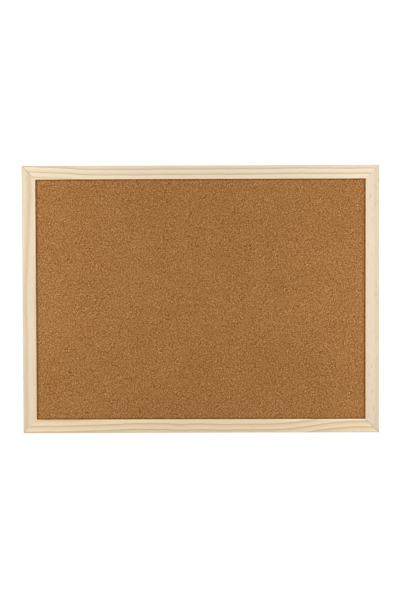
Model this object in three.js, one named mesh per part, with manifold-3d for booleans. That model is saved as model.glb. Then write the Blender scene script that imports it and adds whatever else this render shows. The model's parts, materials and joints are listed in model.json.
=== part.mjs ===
// Cork pin board: a laminated cork panel held in a mitred pine frame, hung on two ring hangers.
// Millimetres. X runs to the viewer's right, Z up, and the cork faces -Y.
// The origin lies on the wall plane, in the middle of the bottom rail's back face.
import * as THREE from 'three';
import { mergeVertices } from 'three/addons/utils/BufferGeometryUtils.js';
import Module from 'manifold-3d';

const wasm = await Module();
wasm.setup();

// Pine frame
const BOARD_WIDTH = 400;
const BOARD_HEIGHT = 300;
const RAIL_FACE = 15; // width of a rail, seen from the front
const LIP_THICKNESS = 3; // wood in front of the panel
const LIP_OVERHANG = 4.5; // how far the lip reaches over the rebate
const FRONT_ARRIS = 1; // radius of the two front edges
const BACK_ARRIS = 0.5; // chamfer of the outer back edge
const MITRE_GAP = 0.3; // hairline left between two rails at a corner

// Panel: cork, soft fibreboard and kraft card, glued together
const CORK_THICKNESS = 2;
const CORK_SQUEEZE = 0.4; // how much thinner the lip presses the cork's margin
const CORK_SLOPE = 0.8; // width of the slope where the cork springs back
const CORE_THICKNESS = 5;
const CARD_THICKNESS = 0.6;
const CARD_SETBACK = 1.5; // the card is cut this much short of the core's edge
const GLUE_LINE = 0.1;
const PANEL_PLAY = 0.8; // between the panel's edge and the rebate's wall
const SIGHT_PLAY = 0.3; // between the raised cork and the lip's edge

// Driven points that hold the panel in the rebate
const POINT_LENGTH = 15;
const POINT_WIDTH = 5.5;
const POINT_THICKNESS = 0.5;
const POINT_BITE = 7; // length driven into the rail
const POINT_TIP = 2.5; // length of the sharpened end
const POINT_CORNER = 1.2; // radius of the blunt end's corners
const POINTS_PER_RAIL = 3;
const POINTS_PER_STILE = 2;
const BACK_RECESS = 2.7; // from the points back to the wall plane

// V-nails that pull the mitres together
const V_NAIL_HEIGHT = 10;
const V_NAIL_LEG = 4.2;
const V_NAIL_THICKNESS = 0.5;
const V_NAIL_OPENING = THREE.MathUtils.degToRad(100);
const V_NAIL_PITCH = 5; // between the two nails of a corner, along the mitre
const V_NAIL_SINK = 0.3; // below the rail's back face

// Ring hangers
const HANGER_DROP = 45; // from the board's top edge to the ring's pivot
const STRAP_WIDTH = 6;
const STRAP_THICKNESS = 0.7;
const STRAP_SLIT = 0.1; // between the folded leaves
const STRAP_WRAP = THREE.MathUtils.degToRad(60); // how far the knuckle wraps below its middle
const RING_WIRE = 1.5;
const RING_SIDE_PLAY = 0.4; // between the strap's edge and the ring's leg
const RING_LEG = 4.5; // from the pivot to where the bow begins
const RING_CORNER = 1.2;
const RING_BUTT = 0.4; // gap between the wire's two ends, inside the knuckle
const KNUCKLE_PLAY = 0.25;
const SCREW_LENGTH = 10;
const SCREW_SHANK = 2.6;
const SCREW_TIP = 3;
const SCREW_HEAD = 5.4;
const SCREW_HEAD_HEIGHT = 1.8;
const SCREW_HEAD_RIM = 0.5; // straight edge of the head, below its dome
const SCREW_SLOT_WIDTH = 0.9;
const SCREW_SLOT_LENGTH = 3.2;
const SCREW_SLOT_DEPTH = 1.1;
const SCREW_PLAY = 0.25; // round the shank, in the strap and in the wood
const SCREW_CLEAR = 0.6; // between the ring's bow and the screw's head

// Fits
const SEAT_GAP = 0.2; // between pieces that rest on each other
const DRIVE_GAP = 0.2; // round a fastener driven into wood
const OVERCUT = 1; // how far a cutting tool runs past the face that it opens
const SAME_POINT = 0.001; // points of a line closer than this are one point

// Worked out from the sizes above. Depths are measured forwards from the wall plane.
const LAND = RAIL_FACE - LIP_OVERHANG; // width of a rail's back face
const POINT_BACK = BACK_RECESS;
const POINT_FRONT = POINT_BACK + POINT_THICKNESS;
const CARD_BACK = POINT_FRONT + SEAT_GAP;
const CARD_FRONT = CARD_BACK + CARD_THICKNESS;
const CORE_BACK = CARD_FRONT + GLUE_LINE;
const CORE_FRONT = CORE_BACK + CORE_THICKNESS;
const CORK_BACK = CORE_FRONT + GLUE_LINE;
const MARGIN_FRONT = CORK_BACK + CORK_THICKNESS - CORK_SQUEEZE;
const SHOULDER = MARGIN_FRONT + SEAT_GAP; // the lip's back face
const RAIL_DEPTH = SHOULDER + LIP_THICKNESS;
const PANEL_INSET = LAND + PANEL_PLAY; // from the board's edge to the panel's edge
const BOARD_CENTRE = BOARD_HEIGHT / 2 - LAND / 2; // above the origin

const LEAF_MIDDLE = SEAT_GAP + STRAP_THICKNESS / 2; // middle of the leaf that lies on the wood
const REAR_LEAF_MIDDLE = LEAF_MIDDLE + STRAP_THICKNESS + STRAP_SLIT;
const STRAP_REAR = REAR_LEAF_MIDDLE + STRAP_THICKNESS / 2;
const KNUCKLE_MIDDLE = RING_WIRE / 2 + KNUCKLE_PLAY + STRAP_THICKNESS / 2; // radius in the sheet
const PIVOT_OUT = LEAF_MIDDLE + KNUCKLE_MIDDLE; // ring's pivot, behind the wall plane
const RING_HALF = STRAP_WIDTH / 2 + RING_SIDE_PLAY + RING_WIRE / 2; // pivot's middle to the leg's
const RING_REACH = RING_LEG + RING_HALF; // from the pivot to the middle of the bow
const RING_REST = Math.asin((STRAP_REAR + SEAT_GAP + RING_WIRE / 2 - PIVOT_OUT) / RING_REACH);
const SCREW_DROP = RING_REACH + RING_WIRE / 2 + SCREW_CLEAR + SCREW_HEAD / 2; // below the pivot
const HANGER_ACROSS = BOARD_WIDTH / 2 - LAND / 2;
const HANGER_UP = BOARD_HEIGHT / 2 - HANGER_DROP;
const QUARTER_TURN = Math.PI / 2;

const PINE = new THREE.MeshStandardMaterial({ color: 0xe6d2b4, roughness: 0.6, metalness: 0 });
const CORK = new THREE.MeshStandardMaterial({ color: 0xa17040, roughness: 0.95, metalness: 0 });
const FIBREBOARD = new THREE.MeshStandardMaterial({ color: 0x8f7455, roughness: 0.95, metalness: 0 });
const KRAFT = new THREE.MeshStandardMaterial({ color: 0xb08a5e, roughness: 0.85, metalness: 0 });
const STEEL = new THREE.MeshStandardMaterial({ color: 0x9da0a3, roughness: 0.45, metalness: 1 });
const ZINC = new THREE.MeshStandardMaterial({ color: 0xc3c6c8, roughness: 0.3, metalness: 1 });

// Directions that a flat outline is stood up in: outline x, outline y, and its thickness.
const FACING_WALL = new THREE.Matrix4().makeBasis(
  new THREE.Vector3(1, 0, 0),
  new THREE.Vector3(0, 0, 1),
  new THREE.Vector3(0, -1, 0),
);
const ALONG_RAIL = new THREE.Matrix4().makeBasis(
  new THREE.Vector3(0, 0, 1),
  new THREE.Vector3(0, -1, 0),
  new THREE.Vector3(1, 0, 0),
);
const ACROSS_STRAP = new THREE.Matrix4().makeBasis(
  new THREE.Vector3(0, 1, 0),
  new THREE.Vector3(0, 0, 1),
  new THREE.Vector3(1, 0, 0),
);

// A closed geometry as a solid that can be cut and joined.
function solidOf(geometry) {
  const bare = new THREE.BufferGeometry();
  bare.setAttribute('position', geometry.getAttribute('position'));
  bare.setIndex(geometry.getIndex());
  const merged = mergeVertices(bare);
  const vertProperties = merged.getAttribute('position').array;
  const triVerts = new Uint32Array(merged.getIndex().array);
  return new wasm.Manifold(new wasm.Mesh({ numProp: 3, vertProperties, triVerts }));
}

// A cut or joined solid as a geometry again.
function geometryOf(solid) {
  const { vertProperties, triVerts } = solid.getMesh();
  const geometry = new THREE.BufferGeometry();
  geometry.setAttribute('position', new THREE.BufferAttribute(vertProperties, 3));
  geometry.setIndex(new THREE.BufferAttribute(triVerts, 1));
  return geometry;
}

function cutFrom(geometry, tools) {
  return geometryOf(tools.reduce((solid, tool) => solid.subtract(solidOf(tool)), solidOf(geometry)));
}

function piece(name, geometry, material) {
  const mesh = new THREE.Mesh(geometry, material);
  mesh.name = name;
  return mesh;
}

function rectangle(width, height) {
  const outline = new THREE.Shape();
  outline.moveTo(-width / 2, -height / 2);
  outline.lineTo(width / 2, -height / 2);
  outline.lineTo(width / 2, height / 2);
  outline.lineTo(-width / 2, height / 2);
  outline.closePath();
  return outline;
}

// An upright plate of this outline between two depths, measured forwards from the wall plane.
function plate(outline, back, front, curveSegments = 4) {
  const options = { depth: front - back, bevelEnabled: false, curveSegments };
  return new THREE.ExtrudeGeometry(outline, options).applyMatrix4(FACING_WALL).translate(0, -back, 0);
}

// The outline of a strip of sheet that follows a line of points, with mitred bends.
function stripOutline(line, thickness) {
  const points = line.filter((point, i) => i === 0 || point.distanceTo(line[i - 1]) > SAME_POINT);
  const normals = points.slice(1).map((point, i) => {
    const along = point.clone().sub(points[i]).normalize();
    return new THREE.Vector2(-along.y, along.x);
  });
  const sides = [[], []];
  points.forEach((point, i) => {
    const before = normals[Math.max(i - 1, 0)];
    const after = normals[Math.min(i, normals.length - 1)];
    const aside = before.clone().add(after).multiplyScalar(thickness / 2 / (1 + before.dot(after)));
    sides[0].push(point.clone().sub(aside));
    sides[1].push(point.clone().add(aside));
  });
  return new THREE.Shape([...sides[0], ...sides[1].reverse()]);
}

// Section of a rail: x is the distance in from the board's edge, y the depth from the wall plane.
function railSection() {
  const section = new THREE.Shape();
  section.moveTo(BACK_ARRIS, 0);
  section.lineTo(LAND, 0);
  section.lineTo(LAND, SHOULDER);
  section.lineTo(RAIL_FACE, SHOULDER);
  section.lineTo(RAIL_FACE, RAIL_DEPTH - FRONT_ARRIS);
  section.absarc(RAIL_FACE - FRONT_ARRIS, RAIL_DEPTH - FRONT_ARRIS, FRONT_ARRIS, 0, QUARTER_TURN);
  section.lineTo(FRONT_ARRIS, RAIL_DEPTH);
  section.absarc(FRONT_ARRIS, RAIL_DEPTH - FRONT_ARRIS, FRONT_ARRIS, QUARTER_TURN, 2 * QUARTER_TURN);
  section.lineTo(0, BACK_ARRIS);
  section.closePath();
  return section;
}

// A rail along X with its outer edge on the X axis. Each end is drawn back by its distance from
// the outer edge, which makes the mitre.
function mitredRail(length) {
  const options = { depth: 1, bevelEnabled: false, curveSegments: 4 };
  const rail = new THREE.ExtrudeGeometry(railSection(), options);
  const corners = rail.getAttribute('position');
  for (let i = 0; i < corners.count; i += 1) {
    const half = length / 2 - corners.getX(i) - MITRE_GAP * Math.SQRT1_2;
    corners.setZ(i, corners.getZ(i) > 0.5 ? half : -half);
  }
  return rail.applyMatrix4(ALONG_RAIL);
}

// Plan of a V-nail, with its fold at 0,0 and its legs spreading towards +y.
function vNailOutline(grow) {
  const across = (V_NAIL_LEG + grow) * Math.sin(V_NAIL_OPENING / 2);
  const up = (V_NAIL_LEG + grow) * Math.cos(V_NAIL_OPENING / 2);
  const line = [new THREE.Vector2(-across, up), new THREE.Vector2(0, 0), new THREE.Vector2(across, up)];
  return stripOutline(line, V_NAIL_THICKNESS + 2 * grow);
}

// Distances of a corner's V-nails from the outer corner, centred on the mitre of the back face.
function vNailPlaces() {
  const middle = LAND * Math.SQRT1_2;
  const depth = V_NAIL_LEG * Math.cos(V_NAIL_OPENING / 2);
  const outer = middle - V_NAIL_PITCH / 2 - depth / 2;
  return { outer, inner: outer + V_NAIL_PITCH };
}

function vNail() {
  return plate(vNailOutline(0), V_NAIL_SINK, V_NAIL_SINK + V_NAIL_HEIGHT);
}

// The cuts that a rail's two ends need for their halves of the V-nails.
function vNailSlots(length) {
  const slots = [];
  for (const end of [-1, 1]) {
    for (const place of Object.values(vNailPlaces())) {
      const slot = plate(vNailOutline(DRIVE_GAP), -OVERCUT, V_NAIL_SINK + V_NAIL_HEIGHT + DRIVE_GAP);
      slot.translate(0, 0, place).rotateY((-end * QUARTER_TURN) / 2).translate((end * length) / 2, 0, 0);
      slots.push(slot);
    }
  }
  return slots;
}

// Plan of a point, with its sharp end at 0,0 and its body towards +y.
function pointOutline(grow) {
  const half = POINT_WIDTH / 2 + grow;
  const end = POINT_LENGTH + grow;
  const outline = new THREE.Shape();
  outline.moveTo(0, -grow);
  outline.lineTo(half, POINT_TIP - grow);
  outline.lineTo(half, end - POINT_CORNER);
  outline.absarc(half - POINT_CORNER, end - POINT_CORNER, POINT_CORNER, 0, QUARTER_TURN);
  outline.absarc(POINT_CORNER - half, end - POINT_CORNER, POINT_CORNER, QUARTER_TURN, 2 * QUARTER_TURN);
  outline.lineTo(-half, POINT_TIP - grow);
  outline.closePath();
  return outline;
}

// Places of points spread evenly over a free stretch of a rail.
function pointPlaces([from, to], count) {
  return Array.from({ length: count }, (_, i) => from + ((i + 0.5) / count) * (to - from));
}

function drivenPoint() {
  return plate(pointOutline(0), POINT_BACK, POINT_FRONT, 3);
}

function pointSlots(places) {
  return places.map((along) => {
    const slot = plate(pointOutline(DRIVE_GAP), POINT_BACK - DRIVE_GAP, POINT_FRONT + DRIVE_GAP, 3);
    return slot.translate(along, 0, LAND - POINT_BITE);
  });
}

// The hole in a stile for the hanger's screw, at a place along the stile.
function pilotHole(along) {
  const radius = SCREW_SHANK / 2 + SCREW_PLAY;
  const bottom = SCREW_LENGTH - STRAP_REAR - SEAT_GAP + DRIVE_GAP;
  const hole = new THREE.CylinderGeometry(radius, radius, bottom + OVERCUT, 16);
  return hole.translate(along, (OVERCUT - bottom) / 2, LAND / 2);
}

// One side of the frame with its points, in a group that turns it to its edge of the board.
function frameSide({ rail, label, turn, length, reach, places, pilots }) {
  const side = new THREE.Group();
  side.rotation.y = turn;
  side.position.set(-reach * Math.sin(turn), 0, -reach * Math.cos(turn));
  const cuts = [...vNailSlots(length), ...pointSlots(places), ...pilots.map(pilotHole)];
  side.add(piece(rail, cutFrom(mitredRail(length), cuts), PINE));
  places.forEach((along, i) => {
    const point = piece(`panel_point_${label}_${i + 1}`, drivenPoint(), STEEL);
    point.position.set(along, 0, LAND - POINT_BITE);
    side.add(point);
  });
  return side;
}

// The two V-nails of one corner. The corner's group looks along the mitre.
function frameCorner(label, turn, across, up) {
  const corner = new THREE.Group();
  corner.rotation.y = turn;
  corner.position.set(across, 0, up);
  for (const [which, place] of Object.entries(vNailPlaces())) {
    const nail = piece(`v_nail_${label}_${which}`, vNail(), STEEL);
    nail.position.z = place;
    corner.add(nail);
  }
  return corner;
}

function frame() {
  const group = new THREE.Group();
  const sightAcross = BOARD_WIDTH / 2 - RAIL_FACE;
  const sightUp = BOARD_HEIGHT / 2 - RAIL_FACE;
  const screwUp = HANGER_UP - SCREW_DROP;
  const across = { length: BOARD_WIDTH, reach: BOARD_HEIGHT / 2, pilots: [] };
  across.places = pointPlaces([-sightAcross, sightAcross], POINTS_PER_RAIL);
  const upright = { length: BOARD_HEIGHT, reach: BOARD_WIDTH / 2 };
  // A stile's points keep to the stretch below the hanger's screw.
  const left = { ...upright, pilots: [-screwUp], places: pointPlaces([-screwUp, sightUp], POINTS_PER_STILE) };
  const right = { ...upright, pilots: [screwUp], places: pointPlaces([-sightUp, screwUp], POINTS_PER_STILE) };
  group.add(frameSide({ rail: 'bottom_rail', label: 'bottom', turn: 0, ...across }));
  group.add(frameSide({ rail: 'left_stile', label: 'left', turn: QUARTER_TURN, ...left }));
  group.add(frameSide({ rail: 'top_rail', label: 'top', turn: 2 * QUARTER_TURN, ...across }));
  group.add(frameSide({ rail: 'right_stile', label: 'right', turn: 3 * QUARTER_TURN, ...right }));
  const half = [BOARD_WIDTH / 2, BOARD_HEIGHT / 2];
  group.add(frameCorner('bottom_left', 0.5 * QUARTER_TURN, -half[0], -half[1]));
  group.add(frameCorner('top_left', 1.5 * QUARTER_TURN, -half[0], half[1]));
  group.add(frameCorner('top_right', 2.5 * QUARTER_TURN, half[0], half[1]));
  group.add(frameCorner('bottom_right', 3.5 * QUARTER_TURN, half[0], -half[1]));
  return group;
}

// The cork: a margin squeezed under the lip, and a field that springs back inside the frame.
function corkSheet() {
  const edge = plate(panelOutline(0), CORK_BACK, MARGIN_FRONT);
  const inset = 2 * (RAIL_FACE + SIGHT_PLAY + CORK_SLOPE);
  const options = {
    depth: CORK_THICKNESS - CORK_SQUEEZE,
    bevelThickness: CORK_SQUEEZE,
    bevelSize: CORK_SLOPE,
    bevelSegments: 3,
  };
  const field = new THREE.ExtrudeGeometry(rectangle(BOARD_WIDTH - inset, BOARD_HEIGHT - inset), options);
  field.applyMatrix4(FACING_WALL).translate(0, -CORK_BACK, 0);
  const behind = plate(panelOutline(0), CORK_BACK - CORK_SQUEEZE - OVERCUT, CORK_BACK);
  return geometryOf(solidOf(edge).add(solidOf(field)).subtract(solidOf(behind)));
}

function panelOutline(setback) {
  const inset = 2 * (PANEL_INSET + setback);
  return rectangle(BOARD_WIDTH - inset, BOARD_HEIGHT - inset);
}

function panel() {
  const group = new THREE.Group();
  group.add(piece('cork_sheet', corkSheet(), CORK));
  group.add(piece('core_board', plate(panelOutline(0), CORE_BACK, CORE_FRONT), FIBREBOARD));
  group.add(piece('backing_card', plate(panelOutline(CARD_SETBACK), CARD_BACK, CARD_FRONT), KRAFT));
  return group;
}

// Side view of the folded strap: up the wood, round the ring's bar and down again on itself.
function strapLine(length) {
  const bend = PIVOT_OUT + KNUCKLE_MIDDLE * Math.cos(STRAP_WRAP) - REAR_LEAF_MIDDLE;
  const bendRadius = bend / (1 - Math.cos(STRAP_WRAP));
  const bendEnd = -(KNUCKLE_MIDDLE + bendRadius) * Math.sin(STRAP_WRAP);
  const line = new THREE.Path();
  line.moveTo(LEAF_MIDDLE, -length);
  line.lineTo(LEAF_MIDDLE, 0);
  line.absarc(PIVOT_OUT, 0, KNUCKLE_MIDDLE, Math.PI, -STRAP_WRAP, true);
  line.absarc(REAR_LEAF_MIDDLE + bendRadius, bendEnd, bendRadius, Math.PI - STRAP_WRAP, Math.PI);
  line.lineTo(REAR_LEAF_MIDDLE, -length);
  return line.getPoints(9);
}

// The strap with its round end and its screw hole. Its pivot is over the origin.
function hangerStrap() {
  const half = STRAP_WIDTH / 2;
  const outline = stripOutline(strapLine(SCREW_DROP + half + OVERCUT), STRAP_THICKNESS);
  const options = { depth: STRAP_WIDTH + 2 * OVERCUT, bevelEnabled: false };
  const strip = new THREE.ExtrudeGeometry(outline, options).translate(0, 0, -half - OVERCUT);
  const round = new THREE.Shape();
  round.absarc(0, -SCREW_DROP, half, Math.PI, 2 * Math.PI);
  round.lineTo(half, 2 * PIVOT_OUT);
  round.lineTo(-half, 2 * PIVOT_OUT);
  round.closePath();
  const plan = plate(round, -2 * PIVOT_OUT - OVERCUT, OVERCUT, 8);
  const radius = SCREW_SHANK / 2 + SCREW_PLAY;
  const hole = new THREE.CylinderGeometry(radius, radius, 2 * (STRAP_REAR + OVERCUT), 20);
  hole.translate(0, 0, -SCREW_DROP);
  const strap = solidOf(strip.applyMatrix4(ACROSS_STRAP)).intersect(solidOf(plan));
  return geometryOf(strap.subtract(solidOf(hole)));
}

// An arc of wire in the XZ plane.
class WireArc extends THREE.Curve {
  constructor(x, z, radius, from, to) {
    super();
    Object.assign(this, { x, z, radius, from, to });
  }

  getPoint(t, target = new THREE.Vector3()) {
    const angle = this.from + (this.to - this.from) * t;
    return target.set(this.x + this.radius * Math.cos(angle), 0, this.z + this.radius * Math.sin(angle));
  }
}

function wireRun(x0, z0, x1, z1) {
  return new THREE.LineCurve3(new THREE.Vector3(x0, 0, z0), new THREE.Vector3(x1, 0, z1));
}

// The ring: one wire bent into a D that hangs from its straight bar, with a butt joint in the bar.
function hangerRing() {
  const bend = RING_HALF - RING_CORNER;
  const wire = new THREE.CurvePath();
  wire.add(wireRun(RING_BUTT / 2, 0, bend, 0));
  wire.add(new WireArc(bend, -RING_CORNER, RING_CORNER, QUARTER_TURN, 0));
  wire.add(wireRun(RING_HALF, -RING_CORNER, RING_HALF, -RING_LEG));
  wire.add(new WireArc(0, -RING_LEG, RING_HALF, 0, -Math.PI));
  wire.add(wireRun(-RING_HALF, -RING_LEG, -RING_HALF, -RING_CORNER));
  wire.add(new WireArc(-bend, -RING_CORNER, RING_CORNER, Math.PI, QUARTER_TURN));
  wire.add(wireRun(-bend, 0, -RING_BUTT / 2, 0));
  const section = new THREE.Shape();
  section.absarc(0, 0, RING_WIRE / 2, 0, 2 * Math.PI);
  return new THREE.ExtrudeGeometry(section, { extrudePath: wire, steps: 56, curveSegments: 5 });
}

// A pan-head screw along Y, with the underside of its head at the origin.
function hangerScrew() {
  const shank = SCREW_SHANK / 2;
  const head = SCREW_HEAD / 2;
  const profile = new THREE.Path();
  profile.moveTo(0, -SCREW_LENGTH);
  profile.lineTo(shank, SCREW_TIP - SCREW_LENGTH);
  profile.lineTo(shank, 0);
  profile.lineTo(head, 0);
  profile.lineTo(head, SCREW_HEAD_RIM);
  profile.absellipse(0, SCREW_HEAD_RIM, head, SCREW_HEAD_HEIGHT - SCREW_HEAD_RIM, 0, QUARTER_TURN);
  const body = new THREE.LatheGeometry(profile.getPoints(3), 20);
  const slots = [0, QUARTER_TURN].map((turn) => {
    const slot = new THREE.BoxGeometry(SCREW_SLOT_LENGTH, 2 * SCREW_SLOT_DEPTH, SCREW_SLOT_WIDTH);
    return slot.rotateY(turn).translate(0, SCREW_HEAD_HEIGHT, 0);
  });
  return cutFrom(body, slots);
}

function hanger(label, across) {
  const group = new THREE.Group();
  group.position.set(across, 0, HANGER_UP);
  const ring = piece(`${label}_hanger_ring`, hangerRing(), ZINC);
  ring.position.y = PIVOT_OUT;
  ring.rotation.x = RING_REST;
  const screw = piece(`${label}_hanger_screw`, hangerScrew(), ZINC);
  screw.position.set(0, STRAP_REAR + SEAT_GAP, -SCREW_DROP);
  group.add(piece(`${label}_hanger_strap`, hangerStrap(), ZINC), ring, screw);
  return group;
}

const pinBoard = new THREE.Group();
const board = new THREE.Group();
board.position.z = BOARD_CENTRE;
board.add(frame(), panel(), hanger('left', -HANGER_ACROSS), hanger('right', HANGER_ACROSS));
pinBoard.add(board);

export default pinBoard;
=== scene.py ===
# %% [markdown]
# A cork pin board
#
# The real board is a sheet of fine cork glued to soft fibreboard and kraft card, held in a mitred pine
# frame by driven steel points and hung on two ring hangers. This lesson rebuilds every piece over its
# packed solid, in metres and in the same frame: X runs to the viewer's right, Z up, and the cork faces
# -Y.

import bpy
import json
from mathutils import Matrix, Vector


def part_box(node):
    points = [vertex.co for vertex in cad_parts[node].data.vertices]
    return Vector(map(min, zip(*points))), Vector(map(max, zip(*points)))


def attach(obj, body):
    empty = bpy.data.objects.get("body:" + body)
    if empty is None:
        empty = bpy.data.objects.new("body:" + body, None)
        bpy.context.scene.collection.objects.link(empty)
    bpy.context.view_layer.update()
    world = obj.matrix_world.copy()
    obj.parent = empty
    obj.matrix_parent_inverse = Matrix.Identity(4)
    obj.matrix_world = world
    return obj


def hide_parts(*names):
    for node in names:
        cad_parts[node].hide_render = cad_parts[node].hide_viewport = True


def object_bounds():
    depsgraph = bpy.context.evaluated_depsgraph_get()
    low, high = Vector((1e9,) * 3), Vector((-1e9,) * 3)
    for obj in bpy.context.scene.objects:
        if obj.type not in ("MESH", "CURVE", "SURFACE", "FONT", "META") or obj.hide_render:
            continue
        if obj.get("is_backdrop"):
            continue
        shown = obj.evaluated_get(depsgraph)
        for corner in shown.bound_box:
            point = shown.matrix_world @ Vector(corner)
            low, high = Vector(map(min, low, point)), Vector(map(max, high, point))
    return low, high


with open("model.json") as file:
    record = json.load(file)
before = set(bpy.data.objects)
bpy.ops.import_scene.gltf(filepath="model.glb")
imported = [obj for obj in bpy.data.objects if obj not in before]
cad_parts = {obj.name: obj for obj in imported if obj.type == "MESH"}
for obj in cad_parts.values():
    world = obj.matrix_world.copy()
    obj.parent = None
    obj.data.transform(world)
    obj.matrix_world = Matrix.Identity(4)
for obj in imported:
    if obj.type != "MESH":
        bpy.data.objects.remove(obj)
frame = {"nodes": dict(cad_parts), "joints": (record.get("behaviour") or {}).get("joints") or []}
CAD_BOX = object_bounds()

# %% [markdown]
# Sizes
#
# Every place could be typed in again, but the packed solids already know where they are. So the outline
# of the frame is measured from its four rails, and only the sizes that a box can't tell are written
# down, in millimetres, each where it is first needed.

# %% Measure the frame
import json
import math
from collections import namedtuple

import bmesh
import bpy
from mathutils import Matrix, Vector, noise

MM = 0.001
QUARTER_TURN = math.pi / 2
RAIL_NODES = ("bottom_rail", "left_stile", "top_rail", "right_stile")
RAIL_FACE = 15 * MM
LIP_THICKNESS = 3 * MM
LIP_OVERHANG = 4.5 * MM

rail_boxes = [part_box(node) for node in RAIL_NODES]
BOARD_LOW = Vector(map(min, zip(*(low for low, high in rail_boxes))))
BOARD_HIGH = Vector(map(max, zip(*(high for low, high in rail_boxes))))
BOARD_SIZE = BOARD_HIGH - BOARD_LOW
BOARD_MIDDLE = (BOARD_LOW + BOARD_HIGH) / 2
RAIL_DEPTH = BOARD_SIZE.y
LAND = RAIL_FACE - LIP_OVERHANG
SHOULDER = RAIL_DEPTH - LIP_THICKNESS
print("frame, mm:", [round(side / MM, 2) for side in BOARD_SIZE])

# %% [markdown]
# Shader maths
#
# A finish is a web of nodes. Linking each one by hand hides the idea, so a small class wraps a socket
# and lets plain Python operators add the Math nodes. Every other node goes through one method, which
# sets the node's own choices first and then feeds its sockets with numbers or with other wrapped
# sockets.

# %% A socket that can be reckoned with
class Tint:
    """One socket on its way through the nodes of a finish."""

    def __init__(self, tree, socket=None):
        self.tree = tree
        self.socket = socket

    def feed(self, socket, value):
        if isinstance(value, Tint):
            self.tree.links.new(value.socket, socket)
        else:
            socket.default_value = value

    def node(self, kind, settings, inputs, output=0):
        made = self.tree.nodes.new(kind)
        for setting, choice in settings.items():
            setattr(made, setting, choice)
        for key, value in inputs.items():
            self.feed(made.inputs[key], value)
        return Tint(self.tree, made.outputs[output])

    def reckon(self, operation, first, second=0.0):
        return self.node("ShaderNodeMath", {"operation": operation}, {0: first, 1: second})

    def __add__(self, other):
        return self.reckon("ADD", self, other)

    def __radd__(self, other):
        return self.reckon("ADD", other, self)

    def __sub__(self, other):
        return self.reckon("SUBTRACT", self, other)

    def __rsub__(self, other):
        return self.reckon("SUBTRACT", other, self)

    def __mul__(self, other):
        return self.reckon("MULTIPLY", self, other)

    def __rmul__(self, other):
        return self.reckon("MULTIPLY", other, self)

    def __truediv__(self, other):
        return self.reckon("DIVIDE", self, other)

    def step(self, start, end):
        """0 before start, 1 after end, and an even curve between them."""
        inputs = {"Value": self, "From Min": start, "From Max": end}
        return self.node("ShaderNodeMapRange", {"interpolation_type": "SMOOTHSTEP"}, inputs)

    def mix(self, first, second):
        """The first colour where this is 0, the second where it is 1."""
        # The node repeats its sockets for every kind of data: its colours go in at 6 and 7 and out at 2.
        return self.node("ShaderNodeMix", {"data_type": "RGBA"}, {0: self, 6: first, 7: second}, 2)

    def times(self, colour):
        """This colour tinted by another."""
        return self.node("ShaderNodeVectorMath", {"operation": "MULTIPLY"}, {0: self, 1: colour})

    def lit(self, colour):
        """A colour made lighter or darker by this value."""
        settings = {"operation": "SCALE"}
        return self.node("ShaderNodeVectorMath", settings, {0: colour, "Scale": self})


print("shader maths ready:", Tint.__doc__)

# %% [markdown]
# A finish starts as a plain shader
#
# A pattern could follow a map wrapped round each piece, but wood and cork are the same all through. So
# patterns are drawn in Object coordinates, which stay put because a finished piece sits at the origin
# with its place in its mesh. They are turned into millimetres at once, so a scale of 0.5 means a grain
# of two millimetres. What is the same all over a piece is set on the shader's own socket.

# %% Start a finish and measure it in millimetres
def start_finish(name, **constants):
    """A new material, a wrapper for its nodes, and its shader with the constant values set."""
    finish = bpy.data.materials.new(name)
    finish.use_nodes = True
    shader = finish.node_tree.nodes["Principled BSDF"]
    for socket, value in constants.items():
        shader.inputs[socket.replace("_", " ")].default_value = value
    return finish, Tint(finish.node_tree), shader


def millimetres(tint):
    """The place on the piece as a vector, in millimetres."""
    place = tint.node("ShaderNodeTexCoord", {}, {}, "Object")
    return tint.node("ShaderNodeVectorMath", {"operation": "SCALE"}, {0: place, "Scale": 1 / MM})


def axes_of(tint, vector):
    return [tint.node("ShaderNodeSeparateXYZ", {}, {"Vector": vector}, axis) for axis in "XYZ"]


def vector_of(tint, x, y, z):
    return tint.node("ShaderNodeCombineXYZ", {}, {"X": x, "Y": y, "Z": z})


print("patterns are drawn in millimetres,", round(1 / MM), "to a metre")

# %% Draw noise and feed the shader
NOISE_MIDDLE = 0.5


def cloud(tint, vector, scale=1.0, detail=2.0):
    """Soft noise from 0 to 1."""
    return tint.node("ShaderNodeTexNoise", {}, {"Vector": vector, "Scale": scale, "Detail": detail})


def paint(tint, shader, colour, roughness):
    """Feeds the colour and the roughness, which change over the surface."""
    tint.feed(shader.inputs["Base Color"], colour)
    tint.feed(shader.inputs["Roughness"], roughness)


def raise_surface(tint, shader, height, strength, distance):
    """Feeds a height to the shader's normal as a fine relief."""
    inputs = {"Height": height, "Strength": strength, "Distance": distance}
    tint.feed(shader.inputs["Normal"], tint.node("ShaderNodeBump", {}, inputs))


print("a finish feeds Base Color, Roughness and Normal")

# %% [markdown]
# Pine
#
# The frame is pale softwood, planed and left bare. Each year adds pale early wood that darkens into a
# thin line of late wood and then starts afresh, so the rings make a saw-toothed pattern. A picture of
# wood could be wrapped round the rails, but real rings run through the whole bar. Here they are sheets
# inside the wood: their place is reckoned across and through the rail, they drift along it, and each
# rail has a growth of its own.

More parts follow.
